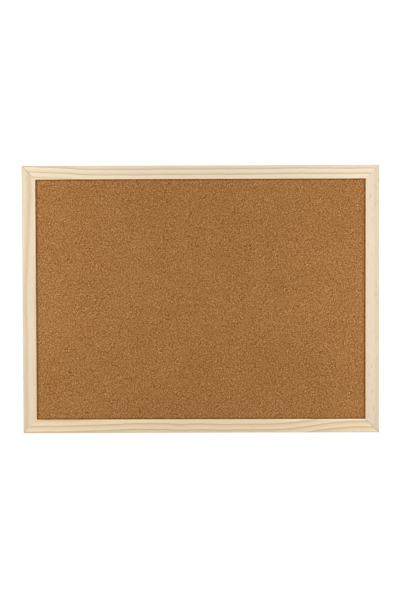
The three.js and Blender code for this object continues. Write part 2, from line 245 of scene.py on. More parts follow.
# %% How each rail grew
# ring: distance between late-wood lines; first: the first line's distance from the outer edge; lean:
# how much the rings move across the rail for each millimetre of depth; dark: strength of the late wood;
# line: the share of it that gathers in a thin line; stop: the share of the year at which it starts to
# end; flecks: strength of the short dark dashes; early, late: colours of the two woods; seed: a number
# that gives the rail a noise of its own. Lengths are in millimetres.
Growth = namedtuple("Growth", "ring first lean dark line stop flecks early late seed")
CREAM = (0.93, 0.785, 0.588, 1)
HONEY = (0.935, 0.757, 0.52, 1)
IVORY = (0.828, 0.697, 0.523, 1)
AMBER = (0.43, 0.225, 0.06, 1)
TAWNY = (0.57, 0.365, 0.12, 1)
GROWTHS = {
    "top_rail": Growth(6.1, 0.4, 0.35, 0.60, 0.55, 0.955, 0.06, CREAM, AMBER, 3.1),
    "bottom_rail": Growth(6.5, 1.9, -0.3, 0.62, 0.55, 0.955, 0.06, HONEY, AMBER, 7.7),
    "left_stile": Growth(12.0, 12.0, 1.1, 0.38, 0.0, 0.72, 0.07, IVORY, TAWNY, 11.3),
    "right_stile": Growth(13.0, 6.2, 1.4, 0.20, 0.0, 0.72, 0.26, IVORY, TAWNY, 17.9),
}

# Stretches of a rail, from start to end along it, over which its rings move across it.
Drift = namedtuple("Drift", "start end rise")
DRIFTS = {
    "top_rail": (Drift(-225, -105, 4.2), Drift(0, 100, -0.6)),
    "bottom_rail": (Drift(-150, -75, 2.6), Drift(-60, -20, -0.8), Drift(78, 175, 9.5)),
    "left_stile": (Drift(270, 150, -4.6),),
    "right_stile": (Drift(0, 290, 1.5),),
}
print("growths:", {node: growth.ring for node, growth in GROWTHS.items()}, "mm a ring")

# %% [markdown]
# Where on a rail is a spot? The pattern needs three lengths: along the rail from its middle or foot,
# across it from its outer edge, and deep into it from its front. The mitre runs where the way to the
# end equals the way across, so the distance to it tells where glue and dust have left a thin dark line.
# Two corners closed less neatly than the other two.

# %% Measure along, across and into a rail
Lie = namedtuple("Lie", "along across deep seam")
RAIL_AXES = {"top_rail": "xz", "bottom_rail": "xz", "left_stile": "zx", "right_stile": "zx"}
SEAM_WIDTH = 0.5
TIGHT_SEAM, OPEN_SEAM = 0.15, 0.75
SEAMS = {
    "top_rail": (OPEN_SEAM, TIGHT_SEAM),
    "bottom_rail": (TIGHT_SEAM, OPEN_SEAM),
    "left_stile": (TIGHT_SEAM, OPEN_SEAM),
    "right_stile": (OPEN_SEAM, TIGHT_SEAM),
}


def rail_lie(tint, node):
    """The lengths along, across and into a rail, in millimetres, and its mitre seams from 0 to 1."""
    parts = dict(zip("xyz", axes_of(tint, millimetres(tint))))
    long_way, cross_way = RAIL_AXES[node]
    along = parts[long_way]
    if node in ("top_rail", "right_stile"):
        across = getattr(BOARD_HIGH, cross_way) / MM - parts[cross_way]
    else:
        across = parts[cross_way] - getattr(BOARD_LOW, cross_way) / MM
    deep = parts["y"] - BOARD_LOW.y / MM
    from_start = along - getattr(BOARD_LOW, long_way) / MM - across
    from_end = getattr(BOARD_HIGH, long_way) / MM - along - across
    start_seam, end_seam = (1 - distance.step(0, SEAM_WIDTH) for distance in (from_start, from_end))
    return Lie(along, across, deep, start_seam * SEAMS[node][0] + end_seam * SEAMS[node][1])


print("seams:", SEAMS)

# %% Draw the rings and the grain
WANDER_LENGTH = 45
WANDER_WIDTH = 0.9
GATHER_START = 0.3
LINE_SHARE = 0.155


def ring_lines(tint, growth, drifts, lie):
    """Late wood from 0 to 1: it gathers slowly, peaks in a line and stops at once."""
    wobble = tint.node("ShaderNodeTexNoise", {"noise_dimensions": "1D"},
                       {"W": lie.along / WANDER_LENGTH + growth.seed, "Scale": 1.0, "Detail": 2.0})
    shift = (wobble - NOISE_MIDDLE) * (2 * WANDER_WIDTH) + growth.first
    for drift in drifts:
        shift = shift + drift.rise * lie.along.step(drift.start, drift.end)
    year = tint.reckon("FRACT", (lie.across + lie.deep * growth.lean - shift) / growth.ring)
    gathered = year.step(GATHER_START, growth.stop) * (1 - growth.line)
    line = year.step(growth.stop - LINE_SHARE, growth.stop) * growth.line
    return (gathered + line) * (1 - year.step(growth.stop, 1.0)) * growth.dark


def stretched(tint, lie, grains, seed, detail=2.0):
    """Noise drawn out along the wood, with so many grains to a millimetre along it and across it."""
    along, across = grains
    vector = vector_of(tint, lie.along * along, lie.across * across, lie.deep * across + seed)
    return cloud(tint, vector, detail=detail)


print("rings wander by", WANDER_WIDTH, "mm in about", WANDER_LENGTH, "mm")

# %% The pine finish
BLUSH = (1.0, 0.975, 0.99, 1)
STRAW = (0.985, 1.0, 0.95, 1)
# A warm tint on the inner arris: partly sanded wood, partly painted light bounced from the cork.
WORN_AND_BOUNCE_TINT = (1.0, 0.96, 0.90, 1)

# Grains to a millimetre, along the wood and across it.
FIBRES = (0.025, 1.6)
FLECKS = (0.11, 0.75)
PORES = (0.07, 7.0)
PATCHES = (0.03, 0.15)
HUES = (0.045, 0.2)
HUE_SEED = 5

# Where in the noise a fleck begins and is full, and where one hue turns into the other.
FLECK_EDGE = (0.62, 0.70)
HUE_EDGE = (0.3, 0.7)

# Inner arris: sanded wood and a painted highlight. Outer edge: painted shade. Both in millimetres.
ARRIS_WEAR_AND_HIGHLIGHT_ACROSS = (RAIL_FACE / MM - 1.6, RAIL_FACE / MM - 0.4)
ARRIS_WEAR_AND_HIGHLIGHT_DEEP = (1.0, 2.6)
OUTER_EDGE_SHADE_WIDTH = 1.4


def pine(node):
    growth = GROWTHS[node]
    finish, tint, shader = start_finish("pine_" + node, Specular_IOR_Level=0.35)
    lie = rail_lie(tint, node)
    late = ring_lines(tint, growth, DRIFTS[node], lie)
    fibres = stretched(tint, lie, FIBRES, growth.seed, detail=3.0)
    flecks = stretched(tint, lie, FLECKS, growth.seed).step(*FLECK_EDGE)
    pores = stretched(tint, lie, PORES, growth.seed)
    patches = stretched(tint, lie, PATCHES, growth.seed)
    hue = stretched(tint, lie, HUES, growth.seed + HUE_SEED).step(*HUE_EDGE)
    # The inner arris is lighter and warmer: partly sanded wood, partly a painted highlight and bounce
    # light.
    arris = lie.across.step(*ARRIS_WEAR_AND_HIGHLIGHT_ACROSS) * (1 - lie.deep.step(*ARRIS_WEAR_AND_HIGHLIGHT_DEEP))
    # Painted shade on the outer edge, which faces away from the lamps.
    outer_edge_shade = 1 - lie.across.step(0.0, OUTER_EDGE_SHADE_WIDTH)
    shade = 0.89 + fibres * 0.10 + pores * 0.10 + patches * 0.06 + arris * 0.24
    shade = shade - flecks * growth.flecks - outer_edge_shade * 0.14
    shade = shade * (1 - lie.seam)
    wood = late.mix(growth.early, growth.late)
    wood = wood.times(arris.mix(hue.mix(BLUSH, STRAW), WORN_AND_BOUNCE_TINT))
    paint(tint, shader, shade.lit(wood), roughness=0.66 - late * 0.12 - fibres * 0.1)
    height = fibres + pores * 0.5 + late * 0.6 - flecks * 0.5
    raise_surface(tint, shader, height, strength=0.35, distance=0.06 * MM)
    return finish


PINES = {node: pine(node) for node in GROWTHS}
print("pine finishes:", list(PINES))

# %% [markdown]
# From a shape to a piece
#
# A shape is modelled in bmesh and then becomes an object that rides on a body and stands for a packed
# node. Some shapes need a modifier on the way: one that gives a folded sheet its thickness, cuts a hole
# or eases the edges. They could stay live, but the next cut needs a finished mesh, so each one is
# settled into the mesh at once and nothing is left live on a finished piece.

# %% Objects and modifiers
def object_from(shape, name):
    mesh = bpy.data.meshes.new(name)
    shape.to_mesh(mesh)
    shape.free()
    made = bpy.data.objects.new(name, mesh)
    bpy.context.scene.collection.objects.link(made)
    return made


def settle(made, kind, **settings):
    """Adds a modifier and works its result into the mesh."""
    modifier = made.modifiers.new(kind.lower(), kind)
    for setting, choice in settings.items():
        setattr(modifier, setting, choice)
    shown = made.evaluated_get(bpy.context.evaluated_depsgraph_get())
    settled = bpy.data.meshes.new_from_object(shown)
    made.modifiers.clear()
    old = made.data
    made.data = settled
    bpy.data.meshes.remove(old)
    settled.name = made.name
    return made


# %% Cut, join and ease
SMOOTH_UNDER = math.radians(40)
SAME_PLACE = 0.001 * MM
EASE_STEPS = 2
ROUND_PROFILE = 0.5


def combine(made, tools, operation="DIFFERENCE"):
    """Cuts each tool's shape out of the object, or joins it on. The tools can be used again."""
    for tool in tools:
        settle(made, "BOOLEAN", operation=operation, solver="EXACT", object=tool)
    shape = bmesh.new()
    shape.from_mesh(made.data)
    bmesh.ops.remove_doubles(shape, verts=shape.verts, dist=SAME_PLACE)
    bmesh.ops.dissolve_degenerate(shape, edges=shape.edges, dist=SAME_PLACE)
    shape.to_mesh(made.data)
    shape.free()
    return made


def put_away(tools):
    for tool in tools:
        bpy.data.objects.remove(tool)


def ease_edges(made, width):
    """Takes the sharpness off every edge that turns too far to look smooth."""
    return settle(made, "BEVEL", width=width, segments=EASE_STEPS, profile=ROUND_PROFILE,
                  limit_method="ANGLE", angle_limit=SMOOTH_UNDER, harden_normals=False)


print("edges stay smooth under", round(math.degrees(SMOOTH_UNDER)), "degrees")

# %% Stand for a packed node
def as_piece(made, finish, node, body="board"):
    """Smooths the object, gives it its finish, and lets it stand for a packed node."""
    made.data.shade_smooth()
    made.data.set_sharp_from_angle(angle=SMOOTH_UNDER)
    made.data.materials.clear()
    made.data.materials.append(finish)
    settle(made, "WEIGHTED_NORMAL", keep_sharp=True)
    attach(made, body)
    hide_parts(node)


print("nodes to stand for:", len(frame["nodes"]))

# %% [markdown]
# V-nails
#
# Two bent strips of steel pull each mitre together from the back. A V-nail could be cut from a block,
# but it is a strip with a fold, so a line of three points is drawn out into a sheet, the fold is
# rounded and the sheet gets its thickness. The same sheet, a little larger and thicker, is the tool
# that cuts the nail's slot in the wood.

# %% Fold a strip
V_NAIL_HALF_OPENING = math.radians(50)
V_NAIL_FOLD = 0.7 * MM
FOLD_STEPS = 5


def new_verts(made):
    """The vertices in what a bmesh operator returned."""
    return [part for part in made if isinstance(part, bmesh.types.BMVert)]


def round_off(shape, parts, radius, steps, affect="EDGES"):
    """Rounds some edges or corners of a shape."""
    bmesh.ops.bevel(shape, geom=parts, offset=radius, offset_type="OFFSET", segments=steps,
                    profile=ROUND_PROFILE, affect=affect, material=-1)


def v_sheet(leg, front, back):
    """The middle of the bent strip, its fold on the Y axis and its legs spreading towards +Z."""
    across = leg * math.sin(V_NAIL_HALF_OPENING)
    up = leg * math.cos(V_NAIL_HALF_OPENING)
    sheet = bmesh.new()
    line = [sheet.verts.new((x, front, z)) for x, z in ((-across, up), (0, 0), (across, up))]
    edges = [sheet.edges.new(pair) for pair in zip(line, line[1:])]
    drawn = bmesh.ops.extrude_edge_only(sheet, edges=edges)["geom"]
    bmesh.ops.translate(sheet, verts=new_verts(drawn), vec=(0, back - front, 0))
    return sheet


def round_fold(sheet):
    """Rounds the fold in an odd number of steps, so that no edge of a slot lies in the mitre's plane."""
    fold = [edge for edge in sheet.edges if len(edge.link_faces) == 2]
    round_off(sheet, fold, V_NAIL_FOLD, FOLD_STEPS)
    return sheet


print("V-nails open by", round(math.degrees(2 * V_NAIL_HALF_OPENING)), "degrees")

# %% Set the V-nails in their corners
V_NAIL_HEIGHT = 10 * MM
V_NAIL_LEG = 4.2 * MM
V_NAIL_THICKNESS = 0.5 * MM
V_NAIL_PITCH = 5 * MM
V_NAIL_SINK = 0.3 * MM
V_NAIL_EASE = 0.06 * MM
DRIVE_GAP = 0.04 * MM
OVERCUT = 1 * MM

# Each corner's turn, halfway between those of its two sides, and its place across and up.
CORNERS = {
    "bottom_left": (0.5 * QUARTER_TURN, BOARD_LOW.x, BOARD_LOW.z),
    "top_left": (1.5 * QUARTER_TURN, BOARD_LOW.x, BOARD_HIGH.z),
    "top_right": (2.5 * QUARTER_TURN, BOARD_HIGH.x, BOARD_HIGH.z),
    "bottom_right": (3.5 * QUARTER_TURN, BOARD_HIGH.x, BOARD_LOW.z),
}

# Half the diagonal of the square in which two lands meet.
MITRE_MIDDLE = LAND * math.sqrt(0.5)
V_NAIL_FIRST = MITRE_MIDDLE - V_NAIL_PITCH / 2 - V_NAIL_LEG * math.cos(V_NAIL_HALF_OPENING) / 2
V_NAIL_PLACES = {"outer": V_NAIL_FIRST, "inner": V_NAIL_FIRST + V_NAIL_PITCH}


def placed(shape, matrix):
    """Moves, turns or stretches a whole shape."""
    bmesh.ops.transform(shape, matrix=matrix, verts=shape.verts)
    return shape


def thicken(made, thickness):
    """Gives a sheet its thickness, half of it on each side."""
    return settle(made, "SOLIDIFY", thickness=thickness, offset=0.0, use_even_offset=True)


def v_strip(name, corner, which, play, back):
    """A bent strip across a mitre, larger by the play all round, that reaches back to this depth."""
    turn, across, up = CORNERS[corner]
    front = -V_NAIL_SINK - V_NAIL_HEIGHT - play
    tip = Matrix.Translation((across, 0, up)) @ Matrix.Rotation(turn, 4, "Y")
    inward = Matrix.Translation((0, 0, V_NAIL_PLACES[which]))
    sheet = placed(round_fold(v_sheet(V_NAIL_LEG + play, front, back)), tip @ inward)
    return thicken(object_from(sheet, name), V_NAIL_THICKNESS + 2 * play)


v_nails, v_slots = {}, {}
for corner in CORNERS:
    for which in V_NAIL_PLACES:
        nail = v_strip(f"bent_v_nail_{corner}_{which}", corner, which, 0, -V_NAIL_SINK)
        v_nails[corner, which] = ease_edges(nail, V_NAIL_EASE)
        v_slots[corner, which] = v_strip("v_slot", corner, which, DRIVE_GAP, OVERCUT)
print("V-nails bent:", len(v_nails))

# %% [markdown]
# Driven points
#
# Flat steel points are pushed sideways into the rebate's wall and lie over the back of the panel. Each
# one is stamped from sheet: a pointed blank with two round corners, pressed with a bead that stiffens
# the end that shows. A bump in the finish could stand for the bead, but it would vanish from the side.
# So the outline is one face, extruded for the thickness, and the bead is a part of the rear face, inset
# and raised.

# %% Stamp a blank
POINT_LENGTH = 15 * MM
POINT_WIDTH = 5.5 * MM
POINT_THICKNESS = 0.5 * MM
POINT_TIP = 2.5 * MM
POINT_CORNER = 1.2 * MM
POINT_CORNER_STEPS = 5
POINT_BACK = -2.7 * MM


def facing_out(shape):
    """Turns every face of a shape outwards."""
    bmesh.ops.recalc_face_normals(shape, faces=shape.faces)
    return shape


def point_blank(play):
    """A plate larger by the play all round, its sharp end at the origin and its body towards +Z."""
    half = POINT_WIDTH / 2 + play
    shoulder, end = POINT_TIP - play, POINT_LENGTH + play
    blank = bmesh.new()
    outline = ((0, -play), (half, shoulder), (half, end), (-half, end), (-half, shoulder))
    loop = [blank.verts.new((x, POINT_BACK + play, z)) for x, z in outline]
    blank.faces.new(loop)
    round_off(blank, loop[2:4], POINT_CORNER, POINT_CORNER_STEPS, "VERTICES")
    drawn = bmesh.ops.extrude_face_region(blank, geom=blank.faces[:])["geom"]
    bmesh.ops.translate(blank, verts=new_verts(drawn), vec=(0, -POINT_THICKNESS - 2 * play, 0))
    return facing_out(blank)


print("points of", round(POINT_LENGTH / MM, 1), "by", round(POINT_WIDTH / MM, 1), "mm")

# %% Press the bead
BEAD_WIDTH = 1.9 * MM
BEAD_ENDS = (8.2 * MM, 13.6 * MM)
BEAD_SLOPE = 0.45 * MM
BEAD_HEIGHT = 0.3 * MM
REARWARD = 0.9


def rear_faces(blank):
    return [face for face in blank.faces if face.normal.y > REARWARD]


def press_bead(blank):
    """Raises a bead on the rear face, between the wood and the point's blunt end."""
    lines = [((x, 0, 0), (1, 0, 0)) for x in (-BEAD_WIDTH / 2, BEAD_WIDTH / 2)]
    lines += [((0, 0, z), (0, 0, 1)) for z in BEAD_ENDS]
    for spot, across in lines:
        rear = rear_faces(blank)
        around = dict.fromkeys(part for face in rear for part in (*face.verts, *face.edges))
        bmesh.ops.bisect_plane(blank, geom=[*rear, *around], plane_co=spot, plane_no=across)
    middle = Vector((0, POINT_BACK, sum(BEAD_ENDS) / 2))
    bead = min(rear_faces(blank), key=lambda face: (face.calc_center_median() - middle).length)
    bmesh.ops.inset_region(blank, faces=[bead], thickness=BEAD_SLOPE, depth=BEAD_HEIGHT)
    return blank


print("bead raised by", round(BEAD_HEIGHT / MM, 2), "mm")

# %% Drive the points in
POINT_BITE = 7 * MM
POINT_EASE = 0.07 * MM
Side = namedtuple("Side", "node turn length reach points")
SIDES = [
    Side("bottom_rail", 0, BOARD_SIZE.x, BOARD_SIZE.z / 2, "panel_point_bottom_"),
    Side("left_stile", QUARTER_TURN, BOARD_SIZE.z, BOARD_SIZE.x / 2, "panel_point_left_"),
    Side("top_rail", 2 * QUARTER_TURN, BOARD_SIZE.x, BOARD_SIZE.z / 2, "panel_point_top_"),
    Side("right_stile", 3 * QUARTER_TURN, BOARD_SIZE.z, BOARD_SIZE.x / 2, "panel_point_right_"),
]


def moved(shape, way):
    return placed(shape, Matrix.Translation(way))


def to_side(shape, side):
    """Moves a shape made along the X axis to its side of the frame."""
    centre = Matrix.Translation((0, 0, BOARD_MIDDLE.z)) @ Matrix.Rotation(side.turn, 4, "Y")
    return placed(shape, centre @ Matrix.Translation((0, 0, -side.reach)))


def place_along(side, node):
    """How far a packed node lies along its side of the frame, from the side's middle."""
    low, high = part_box(node)
    along = Matrix.Rotation(side.turn, 3, "Y") @ Vector((1, 0, 0))
    return ((low + high) / 2 - BOARD_MIDDLE).dot(along)


def driven(shape, side, node):
    """Pushes a point's shape into the wood, where its packed node lies."""
    return to_side(moved(shape, (place_along(side, node), 0, LAND - POINT_BITE)), side)


points = {}
point_slots = {side.node: [] for side in SIDES}
for side in SIDES:
    for node in sorted(name for name in frame["nodes"] if name.startswith(side.points)):
        pressed = driven(press_bead(point_blank(0)), side, node)
        points[node] = ease_edges(object_from(pressed, "pressed_" + node), POINT_EASE)
        slot = driven(point_blank(DRIVE_GAP), side, node)
        point_slots[side.node].append(object_from(slot, "point_slot"))
print("points driven:", len(points))

# %% [markdown]
# Rails and stiles
#
# A rail is planed as one long section with a rebate behind its lip, three of its long edges are eased,
# and it is then cut to 45 degrees at both ends. The frame could be one closed ring, but four bars keep
# the mitres real and give each side a grain of its own. The code follows the maker's order: one section
# is drawn out, three edges are bevelled, two planes cut the mitres, and the slots for the nails, the
# points and the hanger's screw are cut last.

# %% Plane a rail and mitre it
OUTER_ARRIS = 1 * MM
INNER_ARRIS = 0.7 * MM
BACK_ARRIS = 0.5 * MM
FRONT_ARRIS_STEPS = 5
BACK_ARRIS_STEPS = 2


def new_edges(made):
    """The edges in what a bmesh operator returned."""
    return [part for part in made if isinstance(part, bmesh.types.BMEdge)]


def planed_bar(length):
    """A bar along X with its outer edge on the X axis: land, rebate and lip."""
    section = ((0, 0), (LAND, 0), (LAND, SHOULDER), (RAIL_FACE, SHOULDER), (RAIL_FACE, RAIL_DEPTH),
               (0, RAIL_DEPTH))
    bar = bmesh.new()
    loop = [bar.verts.new((-length / 2, -depth, across)) for across, depth in section]
    end = bar.faces.new(loop)
    drawn = bmesh.ops.extrude_face_region(bar, geom=[end])["geom"]
    bmesh.ops.translate(bar, verts=new_verts(drawn), vec=(length, 0, 0))
    return facing_out(bar)


def ease_arris(bar, across, depth, radius, steps):
    """Eases the long edge at this place of the section."""
    def on_edge(vert):
        return abs(vert.co.z - across) < SAME_PLACE and abs(vert.co.y + depth) < SAME_PLACE
    arris = [edge for edge in bar.edges if all(on_edge(vert) for vert in edge.verts)]
    round_off(bar, arris, radius, steps)


def mitre(bar, length, end):
    """Cuts one end, -1 or 1, to 45 degrees and closes the cut."""
    everything = [*bar.verts, *bar.edges, *bar.faces]
    sawn = bmesh.ops.bisect_plane(bar, geom=everything, plane_co=(end * length / 2, 0, 0),
                                  plane_no=(end, 0, 1), clear_outer=True)
    bmesh.ops.holes_fill(bar, edges=new_edges(sawn["geom_cut"]))


def rail(side):
    bar = planed_bar(side.length)
    ease_arris(bar, 0, RAIL_DEPTH, OUTER_ARRIS, FRONT_ARRIS_STEPS)
    ease_arris(bar, RAIL_FACE, RAIL_DEPTH, INNER_ARRIS, FRONT_ARRIS_STEPS)
    ease_arris(bar, 0, 0, BACK_ARRIS, BACK_ARRIS_STEPS)
    for end in (-1, 1):
        mitre(bar, side.length, end)
    return object_from(to_side(facing_out(bar), side), "pine_" + side.node)


print("rail section, mm:", round(RAIL_FACE / MM, 2), "by", round(RAIL_DEPTH / MM, 2))

# %% Drill for the hangers' screws
SCREW_SHANK = 2.6 * MM
SCREW_PLAY = 0.25 * MM
PILOT_SIDES = 24
HANGER_SIDES = ("left", "right")


def drill(name, sides, length, middle):
    """A round tool along Y, wide enough for the shank of a hanger's screw."""
    bit = bmesh.new()
    radius = SCREW_SHANK / 2 + SCREW_PLAY
    bmesh.ops.create_cone(bit, cap_ends=True, segments=sides, radius1=radius, radius2=radius,
                          depth=length)
    place = Matrix.Translation(middle) @ Matrix.Rotation(QUARTER_TURN, 4, "X")
    return object_from(placed(bit, place), name)


def pilot_hole(screw):
    """The tool that drills a stile for this screw."""
    low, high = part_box(screw)
    bottom = low.y - DRIVE_GAP
    middle = ((low.x + high.x) / 2, (OVERCUT + bottom) / 2, (low.z + high.z) / 2)
    return drill("pilot_hole", PILOT_SIDES, OVERCUT - bottom, middle)


pilots = {f"{label}_stile": [pilot_hole(f"{label}_hanger_screw")] for label in HANGER_SIDES}
print("pilot holes:", sum(map(len, pilots.values())))

# %% Make the four sides of the frame
SIDE_CORNERS = {
    "bottom_rail": ("bottom_left", "bottom_right"),
    "left_stile": ("bottom_left", "top_left"),
    "top_rail": ("top_left", "top_right"),
    "right_stile": ("top_right", "bottom_right"),
}
for side in SIDES:
    slots = [v_slots[corner, which] for corner in SIDE_CORNERS[side.node] for which in V_NAIL_PLACES]
    made = combine(rail(side), slots + point_slots[side.node] + pilots.get(side.node, []))
    as_piece(made, PINES[side.node], side.node)
    print(made.name, "faces:", len(made.data.polygons))
for tools in (v_slots.values(), *point_slots.values(), *pilots.values()):
    put_away(tools)

# %% [markdown]
# Steel of the nails and points
#
# The points and V-nails are stamped from cold-rolled strip. It is grey and slightly dull, with fine
# lines from the rolls and a brown breath of oil in places. Each could have a finish of its own, but
# they come from the same kind of strip, so one finish with stretched noise serves both.

# %% The nail steel finish
STEEL_GREY = (0.36, 0.37, 0.38, 1)
STEEL_OILED = (0.30, 0.27, 0.23, 1)
ROLL_LINES_PER_MM = 6
ROLL_BREAKS_PER_MM = 0.6
STAINS_PER_MM = 0.35
STAIN_EDGE = (0.45, 0.75)


def nail_steel():
    finish, tint, shader = start_finish("nail_steel", Metallic=1.0)
    place = millimetres(tint)
    x, y, z = axes_of(tint, place)
    lines = vector_of(tint, x * ROLL_LINES_PER_MM, y * ROLL_LINES_PER_MM, z * ROLL_BREAKS_PER_MM)
    rolled = cloud(tint, lines, detail=3.0)
    stain = cloud(tint, place, STAINS_PER_MM, detail=3.0).step(*STAIN_EDGE)
    shade = 0.82 + rolled * 0.36
    colour = shade.lit(stain.mix(STEEL_GREY, STEEL_OILED))
    paint(tint, shader, colour, roughness=0.34 + rolled * 0.16 + stain * 0.12)
    raise_surface(tint, shader, rolled, strength=0.25, distance=0.02 * MM)
    return finish


steel = nail_steel()
for (corner, which), nail in v_nails.items():
    as_piece(nail, steel, f"v_nail_{corner}_{which}")
for node, point in points.items():
    as_piece(point, steel, node)
print("steel pieces:", len(v_nails) + len(points))

# %% [markdown]
# The cork sheet
#
# Fine cork is ground bark, baked into a block with a binder and sliced. The slice is nearly flat, with
# each grain a little higher or lower than the next. A bump alone would vanish from the side, so the
# face is a fine grid whose points are moved by noise. The lip squeezes the margin, so the face ends in
# a rounded slope and a thinner border.

# %% Roll out the cork
CORK_GRID = 1.1 * MM
CORK_SLOPE = 0.8 * MM
SIGHT_PLAY = 0.3 * MM
GRAIN_SIZE = 1.3 * MM
GRAIN_RELIEF = 0.09 * MM
GRAIN_SEAM = 0.25
GRAIN_SEED = 7.3
cork_low, cork_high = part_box("cork_sheet")
FIELD_INSET = RAIL_FACE + SIGHT_PLAY + CORK_SLOPE
FIELD_HALF = Vector((BOARD_SIZE.x / 2 - FIELD_INSET, 0, BOARD_SIZE.z / 2 - FIELD_INSET))


def standing_grid(half, spacing):
    """A flat grid round the origin, of this half width and height, that looks along -Y."""
    columns, rows = (round(2 * reach / spacing) for reach in (half.x, half.z))
    grid = bmesh.new()
    bmesh.ops.create_grid(grid, x_segments=columns, y_segments=rows, size=1)
    stand = Matrix.Diagonal((half.x, 1, half.z, 1)) @ Matrix.Rotation(QUARTER_TURN, 4, "X")
    return placed(grid, stand)


def grain_height(spot):
    """Each grain has its own height, and the seams between grains lie a little lower."""
    near, centres = noise.voronoi(spot / GRAIN_SIZE)
    own = noise.cell(centres[0] * GRAIN_SEED)
    seam = min(near[1] - near[0], GRAIN_SEAM) / GRAIN_SEAM
    return GRAIN_RELIEF * ((own + seam) / 2 - 1)


def cork_field():
    """The face inside the frame, with every point at its grain's height."""
    field = standing_grid(FIELD_HALF, CORK_GRID)
    for vert in field.verts:
        vert.co.y = cork_low.y - grain_height(vert.co)
    return field


print("cork field, mm:", [round(2 * half / MM, 1) for half in (FIELD_HALF.x, FIELD_HALF.z)])

# %% Press the margin under the lip
CORK_SQUEEZE = 0.4 * MM
SLOPE_STEPS = 3
CORK_HALF = (cork_high - cork_low) / 2


def open_edges(shape):
    return [edge for edge in shape.edges if edge.is_boundary]


def widen(sheet, half, depth):
    """Draws the sheet's border out to a larger rectangle at another depth."""
    border = open_edges(sheet)
    right = max(vert.co.x for edge in border for vert in edge.verts)
    top = max(vert.co.z for edge in border for vert in edge.verts)
    for vert in new_verts(bmesh.ops.extrude_edge_only(sheet, edges=border)["geom"]):
        vert.co = (vert.co.x * half.x / right, depth, vert.co.z * half.z / top)


def cork_sheet():
    sheet = cork_field()
    for step in range(1, SLOPE_STEPS + 1):
        turn = QUARTER_TURN * step / SLOPE_STEPS
        out = Vector((1, 0, 1)) * CORK_SLOPE * math.sin(turn)
        widen(sheet, FIELD_HALF + out, cork_low.y + CORK_SQUEEZE * (1 - math.cos(turn)))
    widen(sheet, CORK_HALF, cork_low.y + CORK_SQUEEZE)
    widen(sheet, CORK_HALF, cork_high.y)
    bmesh.ops.holes_fill(sheet, edges=open_edges(sheet))
    return facing_out(moved(sheet, (0, 0, BOARD_MIDDLE.z)))


cork_piece = object_from(cork_sheet(), "cork_face")
print("cork faces:", len(cork_piece.data.polygons))

# %% [markdown]
# The cork's own map
#
# Each piece's colours can be painted on a square map. Left alone, the map would give the hidden back as
# much room as the face. So the face gets nearly the whole square, and the back and the edges share a
# narrow strip above it.

# %% Give the face most of the map
FACE_SHARE = 0.95
STRIP = 0.01
BACK_ROW, EDGE_ROW = 1, 3
EDGE_FILL = 0.9
FRONTWARD = -0.2
OUTWARD = 0.5


def map_spot(normal, spot):
    """Where a corner of a face lies on the map, by the way the face looks."""
    across = (spot.x - cork_low.x) / (cork_high.x - cork_low.x)
    up = (spot.z - cork_low.z) / (cork_high.z - cork_low.z)
    through = (spot.y - cork_low.y) / (cork_high.y - cork_low.y)
    if normal.y < FRONTWARD:
        return across, up * FACE_SHARE
    if normal.y > OUTWARD:
        return across, FACE_SHARE + STRIP * (BACK_ROW + up)
    sides = (normal.x > OUTWARD, normal.x < -OUTWARD, normal.z > OUTWARD, normal.z < -OUTWARD)
    along = up if abs(normal.x) > OUTWARD else across
    quarter = (sides.index(True) + EDGE_FILL * along) / len(sides)
    return quarter, FACE_SHARE + STRIP * (EDGE_ROW + through)


cork_map = cork_piece.data.uv_layers.new(name="OFBake")
for face in cork_piece.data.polygons:
    for corner in face.loop_indices:
        spot = cork_piece.data.vertices[cork_piece.data.loops[corner].vertex_index].co
        cork_map.data[corner].uv = map_spot(face.normal, spot)
print("map corners:", len(cork_map.data))

# %% [markdown]
# Cork
#
# Grains of about two millimetres lie pressed together like cobbles, each pale in its middle and darker
# at its rim. Inside them are small cells, tan, pale and brown, with thin seams of binder, and here and
# there a dark crumb of bark or a pale flake. The grain is calm in some patches and lively in others.
# Noise alone looks like sand. Voronoi patterns of several sizes give grains that have edges: the
# cobbles are drawn flat on the face, and the finer cells are cut through by it, so large and small ones
# lie side by side.

# %% Grains, specks and painted lip shade
COBBLES_PER_MM = 0.5
COBBLE_RIM = (0.1, 0.62)
COBBLE_JITTER = 0.8
SPECKS_PER_MM = 0.28
SPECK_CHOICE = 0.1
# Width of the painted shade beside the lip, in millimetres.
LIP_SHADE_WIDTH = 2.4


def cells(tint, vector, scale, output, **settings):
    inputs = {"Vector": vector, "Scale": scale}
    return tint.node("ShaderNodeTexVoronoi", settings, inputs, output)


def cobbles(tint, vector):
    """1 in the middle of each grain, 0 at its rim."""
    inputs = {"Vector": vector, "Scale": COBBLES_PER_MM, "Randomness": COBBLE_JITTER}
    distance = tint.node("ShaderNodeTexVoronoi", {"voronoi_dimensions": "2D"}, inputs, "Distance")
    return 1 - distance.step(*COBBLE_RIM)


def channel_of(tint, colour, channel):
    return tint.node("ShaderNodeSeparateColor", {}, {"Color": colour}, channel)


def specks(tint, vector, channel, rarity, middle, rim):
    """1 in a small round spot of some widely spaced cells, which one channel of their colour chooses."""
    chooser = channel_of(tint, cells(tint, vector, SPECKS_PER_MM, "Color"), channel)
    spot = 1 - cells(tint, vector, SPECKS_PER_MM, "Distance").step(middle, rim)
    return chooser.step(rarity, rarity + SPECK_CHOICE) * spot


def painted_lip_shade(tint, along, middle, length):
    """1 where painted shade from the lip darkens the cork at either end of this direction, 0 in the
    field.
    """
    out = tint.reckon("ABSOLUTE", along - middle / MM)
    sight = (length / 2 - RAIL_FACE) / MM
    return out.step(sight - LIP_SHADE_WIDTH, sight)


print("a cobble is about", 1 / COBBLES_PER_MM, "mm wide")

